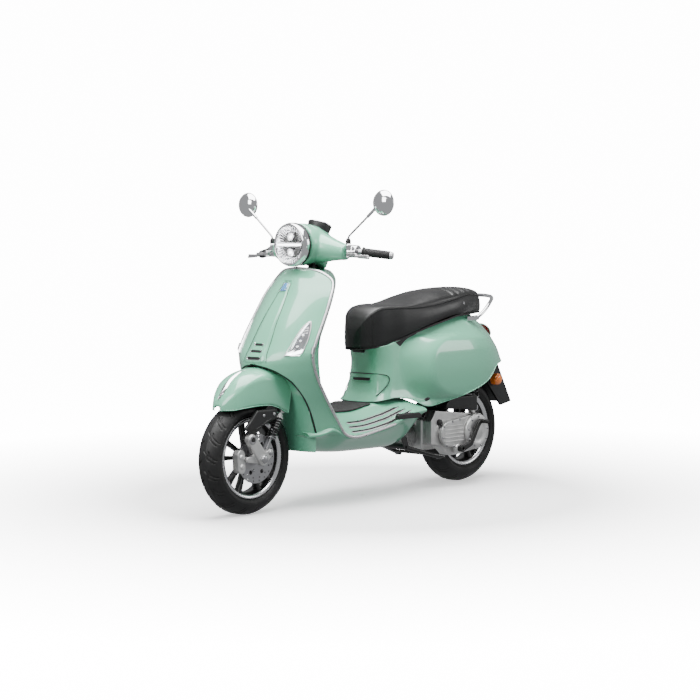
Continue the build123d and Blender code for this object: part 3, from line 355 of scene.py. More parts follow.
def both_sides(rows):
    """Points and quads of a surface and its mirror image across the middle."""
    points, faces = strips(rows)
    count = len(points)
    flipped = [(x, -y, z) for x, y, z in points]
    return points + flipped, faces + [tuple(count + i for i in reversed(face)) for face in faces]


def thicken(piece, thickness, offset=-1.0):
    """Give a surface real thickness."""
    solid = piece.modifiers.new("thickness", "SOLIDIFY")
    solid.thickness = thickness * MM
    solid.offset = offset
    solid.use_even_offset = True
    return piece


def round_edges(piece, width, segments=3, angle=35):
    """Round a piece's sharp edges."""
    bevel = piece.modifiers.new("round", "BEVEL")
    bevel.width = width * MM
    bevel.segments = segments
    bevel.limit_method = "ANGLE"
    bevel.angle_limit = radians(angle)
    piece.modifiers.new("normals", "WEIGHTED_NORMAL")
    return piece


def settle(piece):
    """Turn a piece's modifiers into its mesh."""
    graph = bpy.context.evaluated_depsgraph_get()
    made = bpy.data.meshes.new_from_object(piece.evaluated_get(graph))
    piece.modifiers.clear()
    piece.data = made
    for face in made.polygons:
        face.use_smooth = True
    return piece


def soften(piece, voxel, rounds, factor=0.5):
    """Fuse a piece's solids into one skin with rounded edges and blended corners."""
    remesh = piece.modifiers.new("fuse", "REMESH")
    remesh.mode = "VOXEL"
    remesh.voxel_size = voxel * MM
    relax = piece.modifiers.new("relax", "SMOOTH")
    relax.factor = factor
    relax.iterations = rounds
    return settle(piece)


def lathe(profile, origin, axis, count=64):
    """Rows turned from (along, radius) points about an axis through origin."""
    axis = Vector(axis).normalized()
    side = axis.orthogonal().normalized()
    other = axis.cross(side)
    rows = []
    for along, radius in profile:
        centre = Vector(origin) + axis * along
        rows.append([centre + (side * cos(2 * pi * j / count) + other * sin(2 * pi * j / count)) * radius
                     for j in range(count)])
    return rows


def turned(name, profile, origin, axis, body, slot, nodes=(), caps=True, count=64, material=None):
    """A lathe-turned piece."""
    return skin(name, lathe(profile, origin, axis, count), body, slot, nodes, True, caps, material)


def wire(name, points, radius, body, slot, nodes=(), material=None, closed=False):
    """A round bar that follows a smooth line."""
    data = bpy.data.curves.new(name, "CURVE")
    data.dimensions = "3D"
    data.bevel_depth = radius * MM
    data.bevel_resolution = 4
    data.resolution_u = 8
    data.use_fill_caps = True
    line = data.splines.new("NURBS")
    line.points.add(len(points) - 1)
    for knot, point in zip(line.points, points):
        knot.co = (*(Vector(point) * MM), 1.0)
    line.order_u = 3
    line.use_endpoint_u = not closed
    line.use_cyclic_u = closed
    piece = bpy.data.objects.new(name, data)
    bpy.context.scene.collection.objects.link(piece)
    return dress(piece, body, slot, nodes, material)


def plate(outline, y_low, y_high):
    """Points and faces of an X-Z outline between two widths."""
    count = len(outline)
    points = [(x, y_low, z) for x, z in outline] + [(x, y_high, z) for x, z in outline]
    faces = [tuple(range(count)), tuple(range(count, 2 * count))]
    faces += [(i, (i + 1) % count, count + (i + 1) % count, count + i) for i in range(count)]
    return points, faces


def arc(centre, radius, start, end, count=12):
    """X-Z points along a circle, angles in degrees from +X towards +Z."""
    return [(centre[0] + radius * cos(radians(a)), centre[1] + radius * sin(radians(a)))
            for a in spread(start, end, count)]


def group(name, parts, body, slot, nodes=(), material=None):
    """Several (points, faces) sets as one piece."""
    points = []
    faces = []
    for more, sides in parts:
        start = len(points)
        points += list(more)
        faces += [tuple(start + i for i in side) for side in sides]
    return mesh(name, points, faces, body, slot, nodes, material)


def drum_part(profile, origin, axis, count=32):
    """Points and faces of a small turned solid."""
    points, faces = strips(lathe(profile, origin, axis, count), True)
    faces.append(tuple(range(count)))
    faces.append(tuple((len(profile) - 1) * count + j for j in range(count)))
    return points, faces


def bolt(at, axis, radius=6.0, height=5.0):
    """Points and faces of a hexagon-headed bolt on its washer."""
    washer = drum_part([(-1, radius * 1.25), (1, radius * 1.25)], at, axis, 24)
    head = drum_part([(1, radius), (height - 1, radius), (height, radius * 0.86)], at, axis, 6)
    count = len(washer[0])
    return washer[0] + head[0], washer[1] + [tuple(count + i for i in f) for f in head[1]]


def fused_node(node, body, slot, voxel, rounds, name=None):
    """A CAD node's solids fused into one softly rounded casting."""
    source = frame["nodes"][node]
    piece = bpy.data.objects.new(name or node + "_casting", source.data.copy())
    bpy.context.scene.collection.objects.link(piece)
    soften(piece, voxel, rounds)
    return dress(piece, body, slot, (node,))


# ---------------------------------------------------------------- leg shield and its trim
EDGE_X = [(300, 325), (410, 396), (500, 460), (580, 508), (640, 521), (700, 492), (790, 435), (880, 383),
          (930, 350), (956, 357), (972, 372), (980, 390)]
EDGE_Y = [(300, 203), (410, 195), (500, 201), (580, 206), (640, 210), (700, 207), (790, 200), (880, 186),
          (930, 164), (956, 126), (972, 84), (980, 1)]
NOSE_X = [(300, 560), (400, 610), (500, 640), (600, 648), (680, 607), (760, 560), (870, 482), (930, 440), (980, 391)]
ARCH_Y = [(300, 150), (400, 154), (465, 155), (526, 143), (567, 108), (590, 60), (600, 0.01)]
SHIELD_TOP = 980


def shield_point(y, z):
    """A point on the front of the leg shield."""
    nose = smooth(NOSE_X, z)
    edge = smooth(EDGE_X, z)
    wide = smooth(EDGE_Y, z)
    return (nose - (nose - edge) * min(1.0, abs(y) / wide) ** 2.1, y, z)


def shield_levels():
    """Heights of the shield's rows, closer together at the wheel arch."""
    return spread(300, 520, 16)[:-1] + spread(520, 600, 22)[:-1] + spread(600, 940, 34)[:-1] + spread(940, SHIELD_TOP, 12)


def make_shield():
    rows = []
    for z in shield_levels():
        inner = smooth(ARCH_Y, z) if z < 600 else 0.0
        wide = smooth(EDGE_Y, z)
        rows.append([shield_point(inner + (wide - inner) * t, z) for t in spread(0, 1, 26)])
    piece = mesh("leg_shield_skin", *both_sides(rows), "frame", "body_paint", ("leg_shield",))
    thicken(piece, 2.4)


def trim_line(side):
    """The shield's edge from the top centre down, and back along the floor."""
    down = [(smooth(EDGE_X, z), side * smooth(EDGE_Y, z), z)
            for z in (980, 978, 972, 964, 950, 930, 900, 860, 800, 740, 690, 640, 600, 540, 470, 400, 340, 305)]
    back = [(290, side * 209, 289), (240, side * 208, 288), (150, side * 206, 300), (60, side * 206, 314),
            (20, side * 205, 321)]
    return down + back


def make_trim():
    for side, name in ((1, "left"), (-1, "right")):
        nodes = ("shield_trim",) if side > 0 else ()
        wire("edge_trim_" + name, trim_line(side), 6.5, "frame", "satin_trim", nodes)
        clip = [(smooth(EDGE_X, h) + 0.5, side * (smooth(EDGE_Y, h) + 0.5), h) for h in (642, 655, 668)]
        wire("trim_clip_" + name, clip, 8.0, "frame", "bare_steel")


make_shield()
make_trim()

# horn cover: a raised tie with a dark seam, a square badge and three chrome-lipped slots
TIE_HALF = [(606, 61), (650, 54), (680, 51), (720, 47), (760, 42), (800, 38), (840, 32), (870, 27), (928, 19)]
SLOTS = ((677, 22), (651, 29), (624, 36))


def tie_point(w, z, lift):
    """A point on the tie: w from -1 to 1 across it."""
    x, y, _ = shield_point(w * smooth(TIE_HALF, z), z)
    return (x + lift * 0.86, y, z + lift * 0.5)


def make_tie():
    rows = []
    for z in spread(607, 926, 56):
        end = min(1.0, (926 - z) / 14 + 0.25, (z - 607) / 6 + 0.6)
        half = end if z > 760 else max(end, 0.9)
        row = [tie_point(w * half, z, 3.2 if abs(w) < 0.93 else 0.0)
               for w in (-1, -0.94, -0.9, -0.6, -0.3, 0, 0.3, 0.6, 0.9, 0.94, 1)]
        rows.append(row)
    skin("tie_panel", rows, "frame", "body_paint", ("horn_cover",))
    for side, name in ((1, "left"), (-1, "right")):
        seam = [tie_point(side * 1.04, z, 0.6) for z in spread(606, 922, 18)]
        wire("tie_seam_" + name, seam, 1.3, "frame", "black_plastic")
    top = [tie_point(w, 928, 0.6) for w in (-1.04, -0.5, 0, 0.5, 1.04)]
    wire("tie_seam_top", top, 1.3, "frame", "black_plastic")
    for k, (z, half) in enumerate(SLOTS):
        dark = [[(shield_point(y, h)[0] + 4.4, y, h) for y in spread(-half, half, 13)] for h in (z - 5, z, z + 5)]
        skin(f"slot_dark_{k}", dark, "frame", "black_plastic")
        lip = [(shield_point(y, z)[0] + 5.5, y, z + dz)
               for y, dz in ((half, 6), (half + 3, 1), (half + 1, -5), (half - 6, -7.5), (0, -7.8), (6 - half, -7.5),
                             (-half - 1, -5), (-half - 3, 1), (-half, 6))]
        wire(f"slot_lip_{k}", lip, 2.4, "frame", "chrome_plate")
    rows = [[tie_point(w, z, 5.2) for w in spread(-0.62, 0.62, 7)] for z in spread(886, 918, 7)]
    badge = skin("badge_plate", rows, "frame", "satin_trim", material=BADGE)
    thicken(badge, 2.0)
    border = [tie_point(w, z, 6.0) for w, z in ((-0.64, 884), (0.64, 884), (0.66, 920), (-0.66, 920))]
    wire("badge_border", [border[0], border[1], border[2], border[3], border[0]], 0.9, "frame", "chrome_plate")


make_tie()

# turn indicators on the shield: a leaf-shaped lens in a silver bezel
LEAF = [(636, 128, 176), (642, 129, 181), (660, 133, 184), (690, 138, 184), (720, 144, 181), (745, 150, 176),
        (762, 158, 171), (770, 164, 168)]


def make_front_indicators():
    for side, name in ((1, "left"), (-1, "right")):
        near = [(z, a) for z, a, b in LEAF]
        far = [(z, b) for z, a, b in LEAF]
        rows = []
        for z in spread(636, 770, 26):
            a, b = smooth(near, z), smooth(far, z)
            rows.append([(shield_point(y, z)[0] + 1.5 + 4.5 * sin(pi * t), side * y, z)
                         for t, y in zip(spread(0, 1, 9), spread(a, b, 9))])
        nodes = ("front_indicators",) if side > 0 else ()
        skin("indicator_lens_" + name, rows, "frame", "clear_lens", nodes)
        back = [[(x - 2.5, y, z) for x, y, z in row] for row in rows]
        skin("indicator_reflector_" + name, back, "frame", "chrome_plate")
        rim = [(shield_point(smooth(near, z), z)[0] + 2, side * smooth(near, z), z) for z in spread(636, 770, 9)]
        rim += [(shield_point(smooth(far, z), z)[0] + 2, side * smooth(far, z), z) for z in spread(768, 638, 9)]
        wire("indicator_bezel_" + name, rim + rim[:1], 2.6, "frame", "satin_trim")
        for k, z in enumerate((668, 690, 712)):
            a, b = smooth(near, z) + 8, smooth(far, z) - 8
            turned(f"indicator_bulb_{name}_{k}", [(0, 7), (5, 6), (7, 2)],
                   (shield_point((a + b) / 2, z)[0] - 2, side * (a + b) / 2, z), (0.8, side * 0.6, 0),
                   "frame", "chrome_plate", count=20)
        for k, z in enumerate((722, 732, 742)):
            bar = [(shield_point(y, z)[0] + 4.5, side * y, z + 0.25 * (y - 160))
                   for y in spread(smooth(near, z) + 5, smooth(far, z) - 4, 4)]
            wire(f"indicator_bar_{name}_{k}", bar, 1.1, "frame", "satin_trim")


make_front_indicators()

# wheel well behind the fender: a painted wall with a black edge strip, and a black band of painted shade inside the
# arch
WELL_BACK = [(225, 455), (300, 470), (400, 492), (500, 520), (560, 560), (592, 620)]


def make_wheel_well():
    rows = []
    for z in spread(235, 592, 26):
        x = smooth(WELL_BACK, z)
        wide = smooth(ARCH_Y, max(z, 300)) - 4
        edge_x = shield_point(wide, max(z, 300))[0] - 3
        rows.append([(x + (edge_x - x) * abs(t) ** 3.2, t * wide, z) for t in spread(-1, 1, 25)])
    skin("wheel_well", rows, "frame", "body_paint")
    for side, name in ((1, "left"), (-1, "right")):
        line = []
        for z in (304, 340, 400, 465, 526, 567, 588, 599):
            y = smooth(ARCH_Y, z)
            x = shield_point(y, z)[0]
            line.append((x - 1, side * max(0.0, y - 1), z))
        wire("arch_strip_" + name, line, 3.2, "frame", "black_rubber")
        # Painted shade: a black band just inside the arch edge, where the painted inner wall of the shield lies in
        # shade.
        shade_band = []
        for z in spread(304, 598, 24):
            y = smooth(ARCH_Y, z)
            x = shield_point(y, z)[0]
            shade_band.append([(x - 1 - 26 * t, side * max(0.0, y - 1 - 6 * t), z - 6 * t) for t in spread(0, 1, 4)])
        skin("arch_shade_band_" + name, shade_band, "frame", "black_rubber")


make_wheel_well()

# ---------------------------------------------------------------- rider's side: inner shield, glovebox, key
BACK_X = [(405, 378), (443, 384), (540, 400), (632, 409), (689, 400), (760, 365), (850, 315), (900, 290), (956, 262)]


def inner_point(t, z):
    """Rider's side of the shield: t from 0 at the edge to 1 in the middle."""
    edge_x = smooth(EDGE_X, z) - 2
    edge_y = smooth(EDGE_Y, z) - 2
    back = smooth(BACK_X, z)
    turn = ease(min(1.0, t * 2.6))
    return (edge_x + (back - edge_x) * turn ** 0.8, edge_y * (1 - t), z)


def make_inner_shield():
    rows = [[inner_point(t, z) for t in spread(0, 1, 30)] for z in spread(404, 978, 50)]
    piece = mesh("inner_shield_skin", *both_sides(rows), "frame", "body_paint", ("inner_shield",))
    thicken(piece, 2.4, 1.0)


make_inner_shield()

rows = []
for z in spread(606, 757, 24):
    back = smooth(BACK_X, z)
    rows.append([(back - 3.0 + 3.0 * max(0.0, abs(t) - 0.94) / 0.06, t * 117, z) for t in spread(-1, 1, 33)])
thicken(skin("glovebox_skin", rows, "glovebox", "body_paint", ("glovebox_door",)), 2.4, 1.0)
turned("glovebox_latch", [(0, 13), (4, 13), (6, 10), (6.5, 0.5)], (smooth(BACK_X, 742) - 2, 0, 742), (-1, 0, -0.4),
       "glovebox", "chrome_plate")
turned("key_surround", [(0, 19), (5, 18), (7, 14), (6, 12)], (smooth(BACK_X, 850) + 1, -70, 850), (-1, 0, -0.5),
       "frame", "black_plastic")
hook = [(smooth(BACK_X, 800) - 2, 0, 812), (smooth(BACK_X, 800) - 22, 0, 806), (smooth(BACK_X, 790) - 34, 0, 790),
        (smooth(BACK_X, 780) - 40, 0, 812)]
wire("bag_hook", hook, 4.5, "frame", "chrome_plate")

# ---------------------------------------------------------------- floor
# station x: belly, top, side height, half width
FLOOR = [(-205, (300, 392, 368, 190)), (-140, (212, 413, 365, 196)), (-60, (200, 415, 345, 200)),
         (60, (202, 400, 312, 202)), (200, (206, 381, 297, 203)), (300, (214, 384, 296, 205)), (380, (232, 384, 330, 196)),
         (440, (262, 330, 312, 170)), (470, (300, 318, 310, 140))]
FLAT_HALF = 100.0


def floor_value(x, k):
    """Belly, top, side height or half width of the floor at a station."""
    return smooth([(s, v[k]) for s, v in FLOOR], x)


def floor_station(x):
    """Half section of the floor from the top middle round to the belly middle."""
    belly, top, side, half = (floor_value(x, k) for k in range(4))
    flat = min(FLAT_HALF, half * 0.7)
    knots = [(0, top), (flat * 0.9, top), (flat, top - 1.5), (half - 8, side + 3), (half, side - 5),
             (half - 5, side - 16), (half * 0.88, side * 0.72 + belly * 0.28), (half * 0.62, side * 0.25 + belly * 0.75),
             (half * 0.38, belly + 4), (0, belly)]
    return knots


def make_floor():
    rows = [[(x, y, z) for y, z in floor_station(x)] for x in spread(-205, 470, 46)]
    piece = mesh("floor_skin", *both_sides(rows), "frame", "body_paint", ("floor_pan",))
    smoother = piece.modifiers.new("smooth", "SUBSURF")
    smoother.levels = smoother.render_levels = 2


make_floor()


def side_point(x, across, lift, side):
    """A point above the sloping floor side; across runs from the flat to the edge."""
    top = floor_value(x, 1)
    low = floor_value(x, 2) + 2
    half = floor_value(x, 3) - 7
    run = Vector((0, half - FLAT_HALF, low - top))
    out = Vector((0, top - low, half - FLAT_HALF)).normalized()
    point = Vector((x, FLAT_HALF, top)) + run * across + out * lift
    return (point.x, side * point.y, point.z)


def make_floor_strips():
    first = True
    for side, name in ((1, "left"), (-1, "right")):
        for k, (across, front, rear) in enumerate(((0.50, 262, -70), (0.70, 268, -90), (0.90, 272, -110))):
            for layer, (lift, half, slot) in enumerate(((0.6, 0.055, "satin_trim"), (2.2, 0.032, "black_rubber"))):
                rows = []
                for x in spread(front, rear, 30):
                    tip = min(1.0, (front - x + 4) / 16, (x - rear + 4) / 30)
                    rows.append([side_point(x, across + w * half * tip, lift + 2.2 * (1 - w * w), side)
                                 for w in (-1, -0.6, 0, 0.6, 1)])
                nodes = ("floor_strips",) if first else ()
                first = False
                skin(f"floor_strip_{name}_{k}_{layer}", rows, "frame", slot, nodes)


make_floor_strips()


def make_floor_mat():
    parts = []
    lane = 9.0
    for k in range(-10, 11):
        y = k * lane
        front = 296 - 0.0022 * y * y
        rows = []
        for x in spread(front, 50, 30):
            z = floor_value(x, 1)
            rows.append([(x, y + dy, z + lift) for dy, lift in ((-lane / 2, 1.2), (-3.2, 1.4), (-2.4, 3.8), (2.4, 3.8),
                                                                (3.2, 1.4), (lane / 2, 1.2))])
        parts.append(strips(rows))
    group("mat_ribs", parts, "frame", "black_rubber", ("floor_mat",))
    edge = [(298, y, floor_value(298, 1) + 1.5) for y in (-96, -50, 0, 50, 96)]
    side = [(x, 97, floor_value(x, 1) + 1.5) for x in (260, 180, 100, 60)]
    wire("mat_edge_left", [edge[-1], *side], 3.0, "frame", "black_rubber")
    wire("mat_edge_right", [(x, -y, z) for x, y, z in [edge[-1], *side]], 3.0, "frame", "black_rubber")


make_floor_mat()

# ---------------------------------------------------------------- rear body
BODY_FRONT = [(370, 66), (407, 44), (455, 14), (500, 2), (561, -6), (620, 4), (680, 30), (770, 60)]
BODY_TAIL = [(360, -872), (470, -886), (520, -880), (583, -852), (629, -815), (690, -758), (737, -698), (780, -640)]
COLUMN_HALF = [(360, 158), (390, 148), (415, 132), (455, 121), (520, 116), (600, 110), (680, 104), (780, 90)]
BODY_HALF = [(360, 176), (405, 187), (455, 194), (520, 197), (600, 193), (650, 182), (672, 170), (700, 152), (730, 132),
             (756, 112), (790, 92)]
CHEEK_FRONT = [(370, -215), (429, -178), (492, -140), (589, -124), (640, -138), (700, -172), (780, -240)]
SEAT_LINE = [(-1000, 720), (-800, 745), (-720, 758), (-600, 755), (-460, 748), (-277, 708), (-136, 666), (3, 631), (110, 618)]
BODY_LOW = [(-1000, 560), (-880, 548), (-800, 536), (-725, 530), (-636, 466), (-451, 409), (-330, 384), (-265, 372),
            (-240, 374), (-190, 398), (-145, 414), (-60, 419), (60, 404), (200, 400)]
OVAL = (-500.0, 541.0, 240.0, 136.0)
OVAL_POWER = 2.3


def oval_front(z):
    """Front edge of the raised oval on the cheek at a height."""
    x, height, long, tall = OVAL
    rise = min(1.0, abs((z - height) / tall))
    return x + long * (1 - rise ** OVAL_POWER) ** (1 / OVAL_POWER)


def body_half(x, z):
    """Half width of the rear body: a round column, a hollow, then the cheek with its raised oval."""
    front = smooth(BODY_FRONT, z)
    tail = smooth(BODY_TAIL, z)
    column = smooth(COLUMN_HALF, z)
    wide = smooth(BODY_HALF, z)
    nose = min(1.0, max(0.0, (front - x) / 92))
    half = column * (1 - (1 - nose) ** 2.7) ** (1 / 2.7)
    start = smooth(CHEEK_FRONT, z) + 14
    end = oval_front(z)
    if x < start:
        t = min(1.0, (start - x) / (start - end))
        half += (wide - column) * (0.45 * ease(t) + 0.55 * sin(t * pi / 2) ** 1.5)
    middle = -500.0
    if x < middle:
        reach = min(1.0, (middle - x) / (middle - tail))
        half *= (1 - reach ** 2.15) ** 0.5
    return half


def body_point(s, v):
    """A point on the left of the rear body: s from the front to the tail, v from the lower edge to the seat."""
    ahead = (1 - cos(pi * s)) / 2
    z = 520.0
    for _ in range(3):
        x = smooth(BODY_FRONT, z) + (smooth(BODY_TAIL, z) - smooth(BODY_FRONT, z)) * ahead
        low = smooth(BODY_LOW, x)
        z = low + (smooth(SEAT_LINE, x) + 4 - low) * v
    x = smooth(BODY_FRONT, z) + (smooth(BODY_TAIL, z) - smooth(BODY_FRONT, z)) * ahead
    return (x, body_half(x, z), z)


def make_rear_body():
    rows = [[body_point(s, v) for v in spread(0, 1, 56)] for s in spread(0, 1, 110)]
    piece = mesh("rear_body_skin", *both_sides(rows), "frame", "body_paint", ("rear_body",))
    thicken(piece, 2.4)


make_rear_body()


def on_column(y, z, lift):
    """A point on the front of the column at a width and height, a little above the paint."""
    front = smooth(BODY_FRONT, z)
    column = smooth(COLUMN_HALF, z)
    side = min(0.995, abs(y) / column)
    nose = 1 - (1 - side ** 2.7) ** (1 / 2.7)
    return (front - 92 * nose + lift, y * (1 + lift / 400), z)


def make_access_door():
    for side, name in ((1, "left"), (-1, "right")):
        line = [(0, 524), (40, 524), (96, 521), (109, 516), (114, 500), (113, 478), (104, 452), (92, 432)]
        wire("door_seam_" + name, [on_column(side * y, z, 4.0) for y, z in line], 1.8, "frame", "black_plastic",
             ("access_door",) if side > 0 else ())
    rows = [[on_column(y, z, 4.2) for y in spread(-48, 48, 13)] for z in (494, 497, 500, 503, 506)]
    skin("door_slot", rows, "frame", "black_plastic")
    lip = [on_column(y, z, 3.0) for y, z in ((50, 507), (52, 500), (48, 491), (0, 490), (-48, 491), (-52, 500), (-50, 507))]
    wire("door_slot_lip", lip, 2.0, "frame", "body_paint")


make_access_door()
wire("floor_seam_left", [body_point(s, 0.0) for s in spread(0.0, 0.24, 14)], 1.6, "frame", "black_plastic")
wire("floor_seam_right", [(p[0], -p[1], p[2]) for p in (body_point(s, 0.0) for s in spread(0.0, 0.24, 14))], 1.6,
     "frame", "black_plastic")
for side, name in ((1, "left"), (-1, "right")):
    hem = [body_point(s, 0.0) for s in spread(0.26, 1.0, 26)]
    wire("body_hem_" + name, [(x, side * y, z) for x, y, z in hem], 2.6, "frame", "body_paint")
    seam = [(x, side * body_half(x, z) + side * 0.4, z) for x, z in ((-566, 738), (-640, 726), (-720, 692), (-776, 650))]
    wire("tail_seam_" + name, seam, 1.1, "frame", "black_plastic")

# tail: red lamp in a bright bezel, round side lamps, grab rail
TAIL_LAMP_X = [(0, -772), (0.3, -803), (0.6, -829), (0.85, -836), (1, -826)]
TAIL_LAMP_Z = [(0, 709), (0.3, 696), (0.6, 669), (0.85, 651), (1, 636)]


def make_tail():
    rows = []
    for s in spread(0, 1, 16):
        x = smooth(TAIL_LAMP_X, s)
        z = smooth(TAIL_LAMP_Z, s)
        half = 26 + 21 * sin(pi * s) ** 0.6
        rows.append([(x + 12 * w * w, half * w, z - 3 * w * w) for w in spread(-1, 1, 21)])
    skin("tail_lamp_lens", rows, "frame", "red_lens", ("tail_lamp",))
    ring = [(row[0][0], row[0][1], row[0][2]) for row in rows] + [row[-1] for row in reversed(rows)]
    wire("tail_lamp_bezel", ring + ring[:1], 3.0, "frame", "chrome_plate")
    for side, name in ((1, "left"), (-1, "right")):
        profile = [(0, 26), (4, 27), (26, 26), (30, 24), (37, 18), (39, 8), (39.4, 0.4)]
        turned("side_lamp_" + name, profile, (-800, side * 78, 452), (0, side, 0), "frame", "amber_lens",
               ("rear_indicators",) if side > 0 else ())
        turned("side_lamp_rim_" + name, [(-2, 22), (-2, 28.5), (3, 28.5), (3, 26)], (-800, side * 78, 452),
               (0, side, 0), "frame", "black_plastic")


def make_rail():
    line = [(-556, 130, 733), (-585, 147, 734), (-640, 152, 766), (-700, 140, 806), (-752, 112, 827), (-776, 60, 832),
            (-780, 0, 833)]
    full = line + [(x, -y, z) for x, y, z in reversed(line[:-1])]
    wire("grab_rail_tube", full, 8.5, "frame", "chrome_plate", ("grab_rail",))
    for side, name in ((1, "left"), (-1, "right")):
        foot = [(-548, side * 128, 737), (-575, side * 139, 737), (-604, side * 146, 742)]
        wire("rail_foot_" + name, foot, 11.5, "frame", "chrome_plate")


make_tail()
make_rail()

# ---------------------------------------------------------------- seat
SEAT_HALF = [(-719, 20), (-712, 58), (-700, 80), (-680, 97), (-600, 126), (-450, 146), (-300, 142), (-150, 124),
             (-80, 107), (-20, 93), (20, 77), (48, 56), (62, 34), (68, 12)]
SEAT_TOP = [(-719, 800), (-712, 842), (-690, 864), (-577, 875), (-398, 869), (-282, 850), (-200, 829), (-133, 818),
            (-60, 819), (-22, 813), (8, 798), (32, 772), (50, 740), (62, 706), (68, 672)]
SEAT_SEAM = [(-719, 786), (-700, 828), (-577, 845), (-443, 826), (-311, 806), (-196, 799), (-98, 800), (-30, 798),
             (20, 776), (50, 738), (64, 704), (68, 674)]
SEAT_RIBS = [-470 - 43 * k for k in range(6)]


def seat_bottom(x):
    """Lower edge of the cushion."""
    return smooth(SEAT_LINE, x) + 6 + 8 * max(0.0, (x - 0) / 68) ** 2


def seat_station(x):
    """Half section of the cushion from the underside middle over the seam to the top middle."""
    half = smooth(SEAT_HALF, x)
    low = seat_bottom(x)
    seam = max(smooth(SEAT_SEAM, x), low + 8)
    top = max(smooth(SEAT_TOP, x), seam + 3)
    rise = top - seam
    knots = [(0.0, low), (half * 0.86, low), (half * 0.955, low + 3), (half * 0.99, low + (seam - low) * 0.18),
             (half * 1.0, low + (seam - low) * 0.45), (half * 0.975, low + (seam - low) * 0.75),
             (half * 0.925, seam - 3)]
    side = [(smooth_pair(knots, t)) for t in spread(0, 1, 22)]
    crown = [(half * 0.90 * cos(a), seam + rise * sin(a) ** 0.86) for a in spread(0, pi / 2, 20)]
    return side, crown


def smooth_pair(knots, t):
    """A point on a smooth curve through pairs, t from 0 to 1 along them."""
    count = len(knots) - 1
    ends = [(k / count, p[0]) for k, p in enumerate(knots)]
    other = [(k / count, p[1]) for k, p in enumerate(knots)]
    return smooth(ends, t), smooth(other, t)


def rib_depth(x, y, half):
    """Groove depth of the passenger panel's sewn channels."""
    if x > SEAT_RIBS[0] + 20:
        return 0.0
    bow = 26 * (y / max(half, 1)) ** 2
    near = min(abs(x - bow - r) for r in SEAT_RIBS)
    return 7.0 * exp(-(near / 5.0) ** 2) - 2.0 * exp(-((near - 20) / 12) ** 2)


def make_seat():
    rows = []
    stations = [68 - 787 * (1 - cos(pi * s)) / 2 for s in spread(0.0, 1, 40)]
    stations = sorted(set(stations + [x for x in spread(-700, 40, 150)]), reverse=True)
    for x in stations:
        side, crown = seat_station(x)
        half = smooth(SEAT_HALF, x)
        rows.append([(x, y, z) for y, z in side]
                    + [(x, y, z - rib_depth(x, y, half) * ease((half * 0.88 - y) / 12)) for y, z in crown])
    points, faces = both_sides(rows)
    count = len(rows[0])
    total = len(rows) * count
    for row in (0, len(rows) - 1):
        ring = [row * count + j for j in range(count)]
        faces.append(tuple(ring + [total + i for i in reversed(ring)]))
    seat = mesh("seat_cover", points, faces, "seat", "seat_leather", ("seat_cushion",))
    for side, name in ((1, "left"), (-1, "right")):
        line = []
        for x in spread(60, -712, 40):
            edge, _ = seat_station(x)
            y, z = edge[-1]
            line.append((x, side * (y + 0.2), z + 2.0))
        wire("seat_piping_" + name, line, 1.7, "seat", "seat_leather")
        front = []
        for t in spread(0.12, 1.0, 9):
            edge, _ = seat_station(16)
            y, z = edge[int(t * (len(edge) - 1))]
            front.append((16, side * (y + 0.6), z))
        wire("seat_front_seam_" + name, front, 1.0, "seat", "seat_leather")
        y = seat_station(-512)[0][17][0]
        turned("seat_stud_" + name, [(-2, 10), (1.0, 10), (1.6, 8.5), (1.2, 7), (1.6, 5.5), (2.2, 0.4)],
               (-512, side * (y - 0.5), 806), (0, side, 0.12), "seat", "bare_steel", count=32)


make_seat()

# ---------------------------------------------------------------- headset, lamp and controls
LAMP_Z = 1076
BAR_BEND = Vector((284, 250, 1047))
BAR_RUN = Vector((-55, 118, -16)).normalized()


def bar_point(distance, side):
    """A point along the straight outer stretch of the bar."""
    p = BAR_BEND + BAR_RUN * distance
    return Vector((p.x, side * p.y, p.z))


def bar_axis(side):
    """Direction of the bar's outer stretch, outwards."""
    return Vector((BAR_RUN.x, side * BAR_RUN.y, BAR_RUN.z))


def make_headset():
    bulb = [(385, 60), (388, 84), (380, 87.5), (345, 86), (300, 79), (255, 66), (222, 48), (207, 20)]
    parts = [drum_part([(x, r) for x, r in bulb], (0, 0, LAMP_Z), (1, 0, 0), 64)]
    for side in (-1, 1):
        arm = [(-20, 70), (0, 68), (40, 58), (90, 45), (140, 35), (162, 32.5), (164, 28)]
        parts.append(drum_part(arm, (300, side * 36, 1064), (2, side * 164, -21), 48))
    tilt = radians(26)
    axis = (-sin(tilt), 0, cos(tilt))
    parts.append(drum_part([(14, 50), (16, 56), (60, 58), (80, 50)], (303, 0, 980), axis, 56))
    shell = group("headset_cover", parts, "steering", "body_paint", ("headset_shell",))
    soften(shell, 4.0, 16)
    shell.data.materials.clear()
    shell.data.materials.append(MATERIALS["body_paint"])


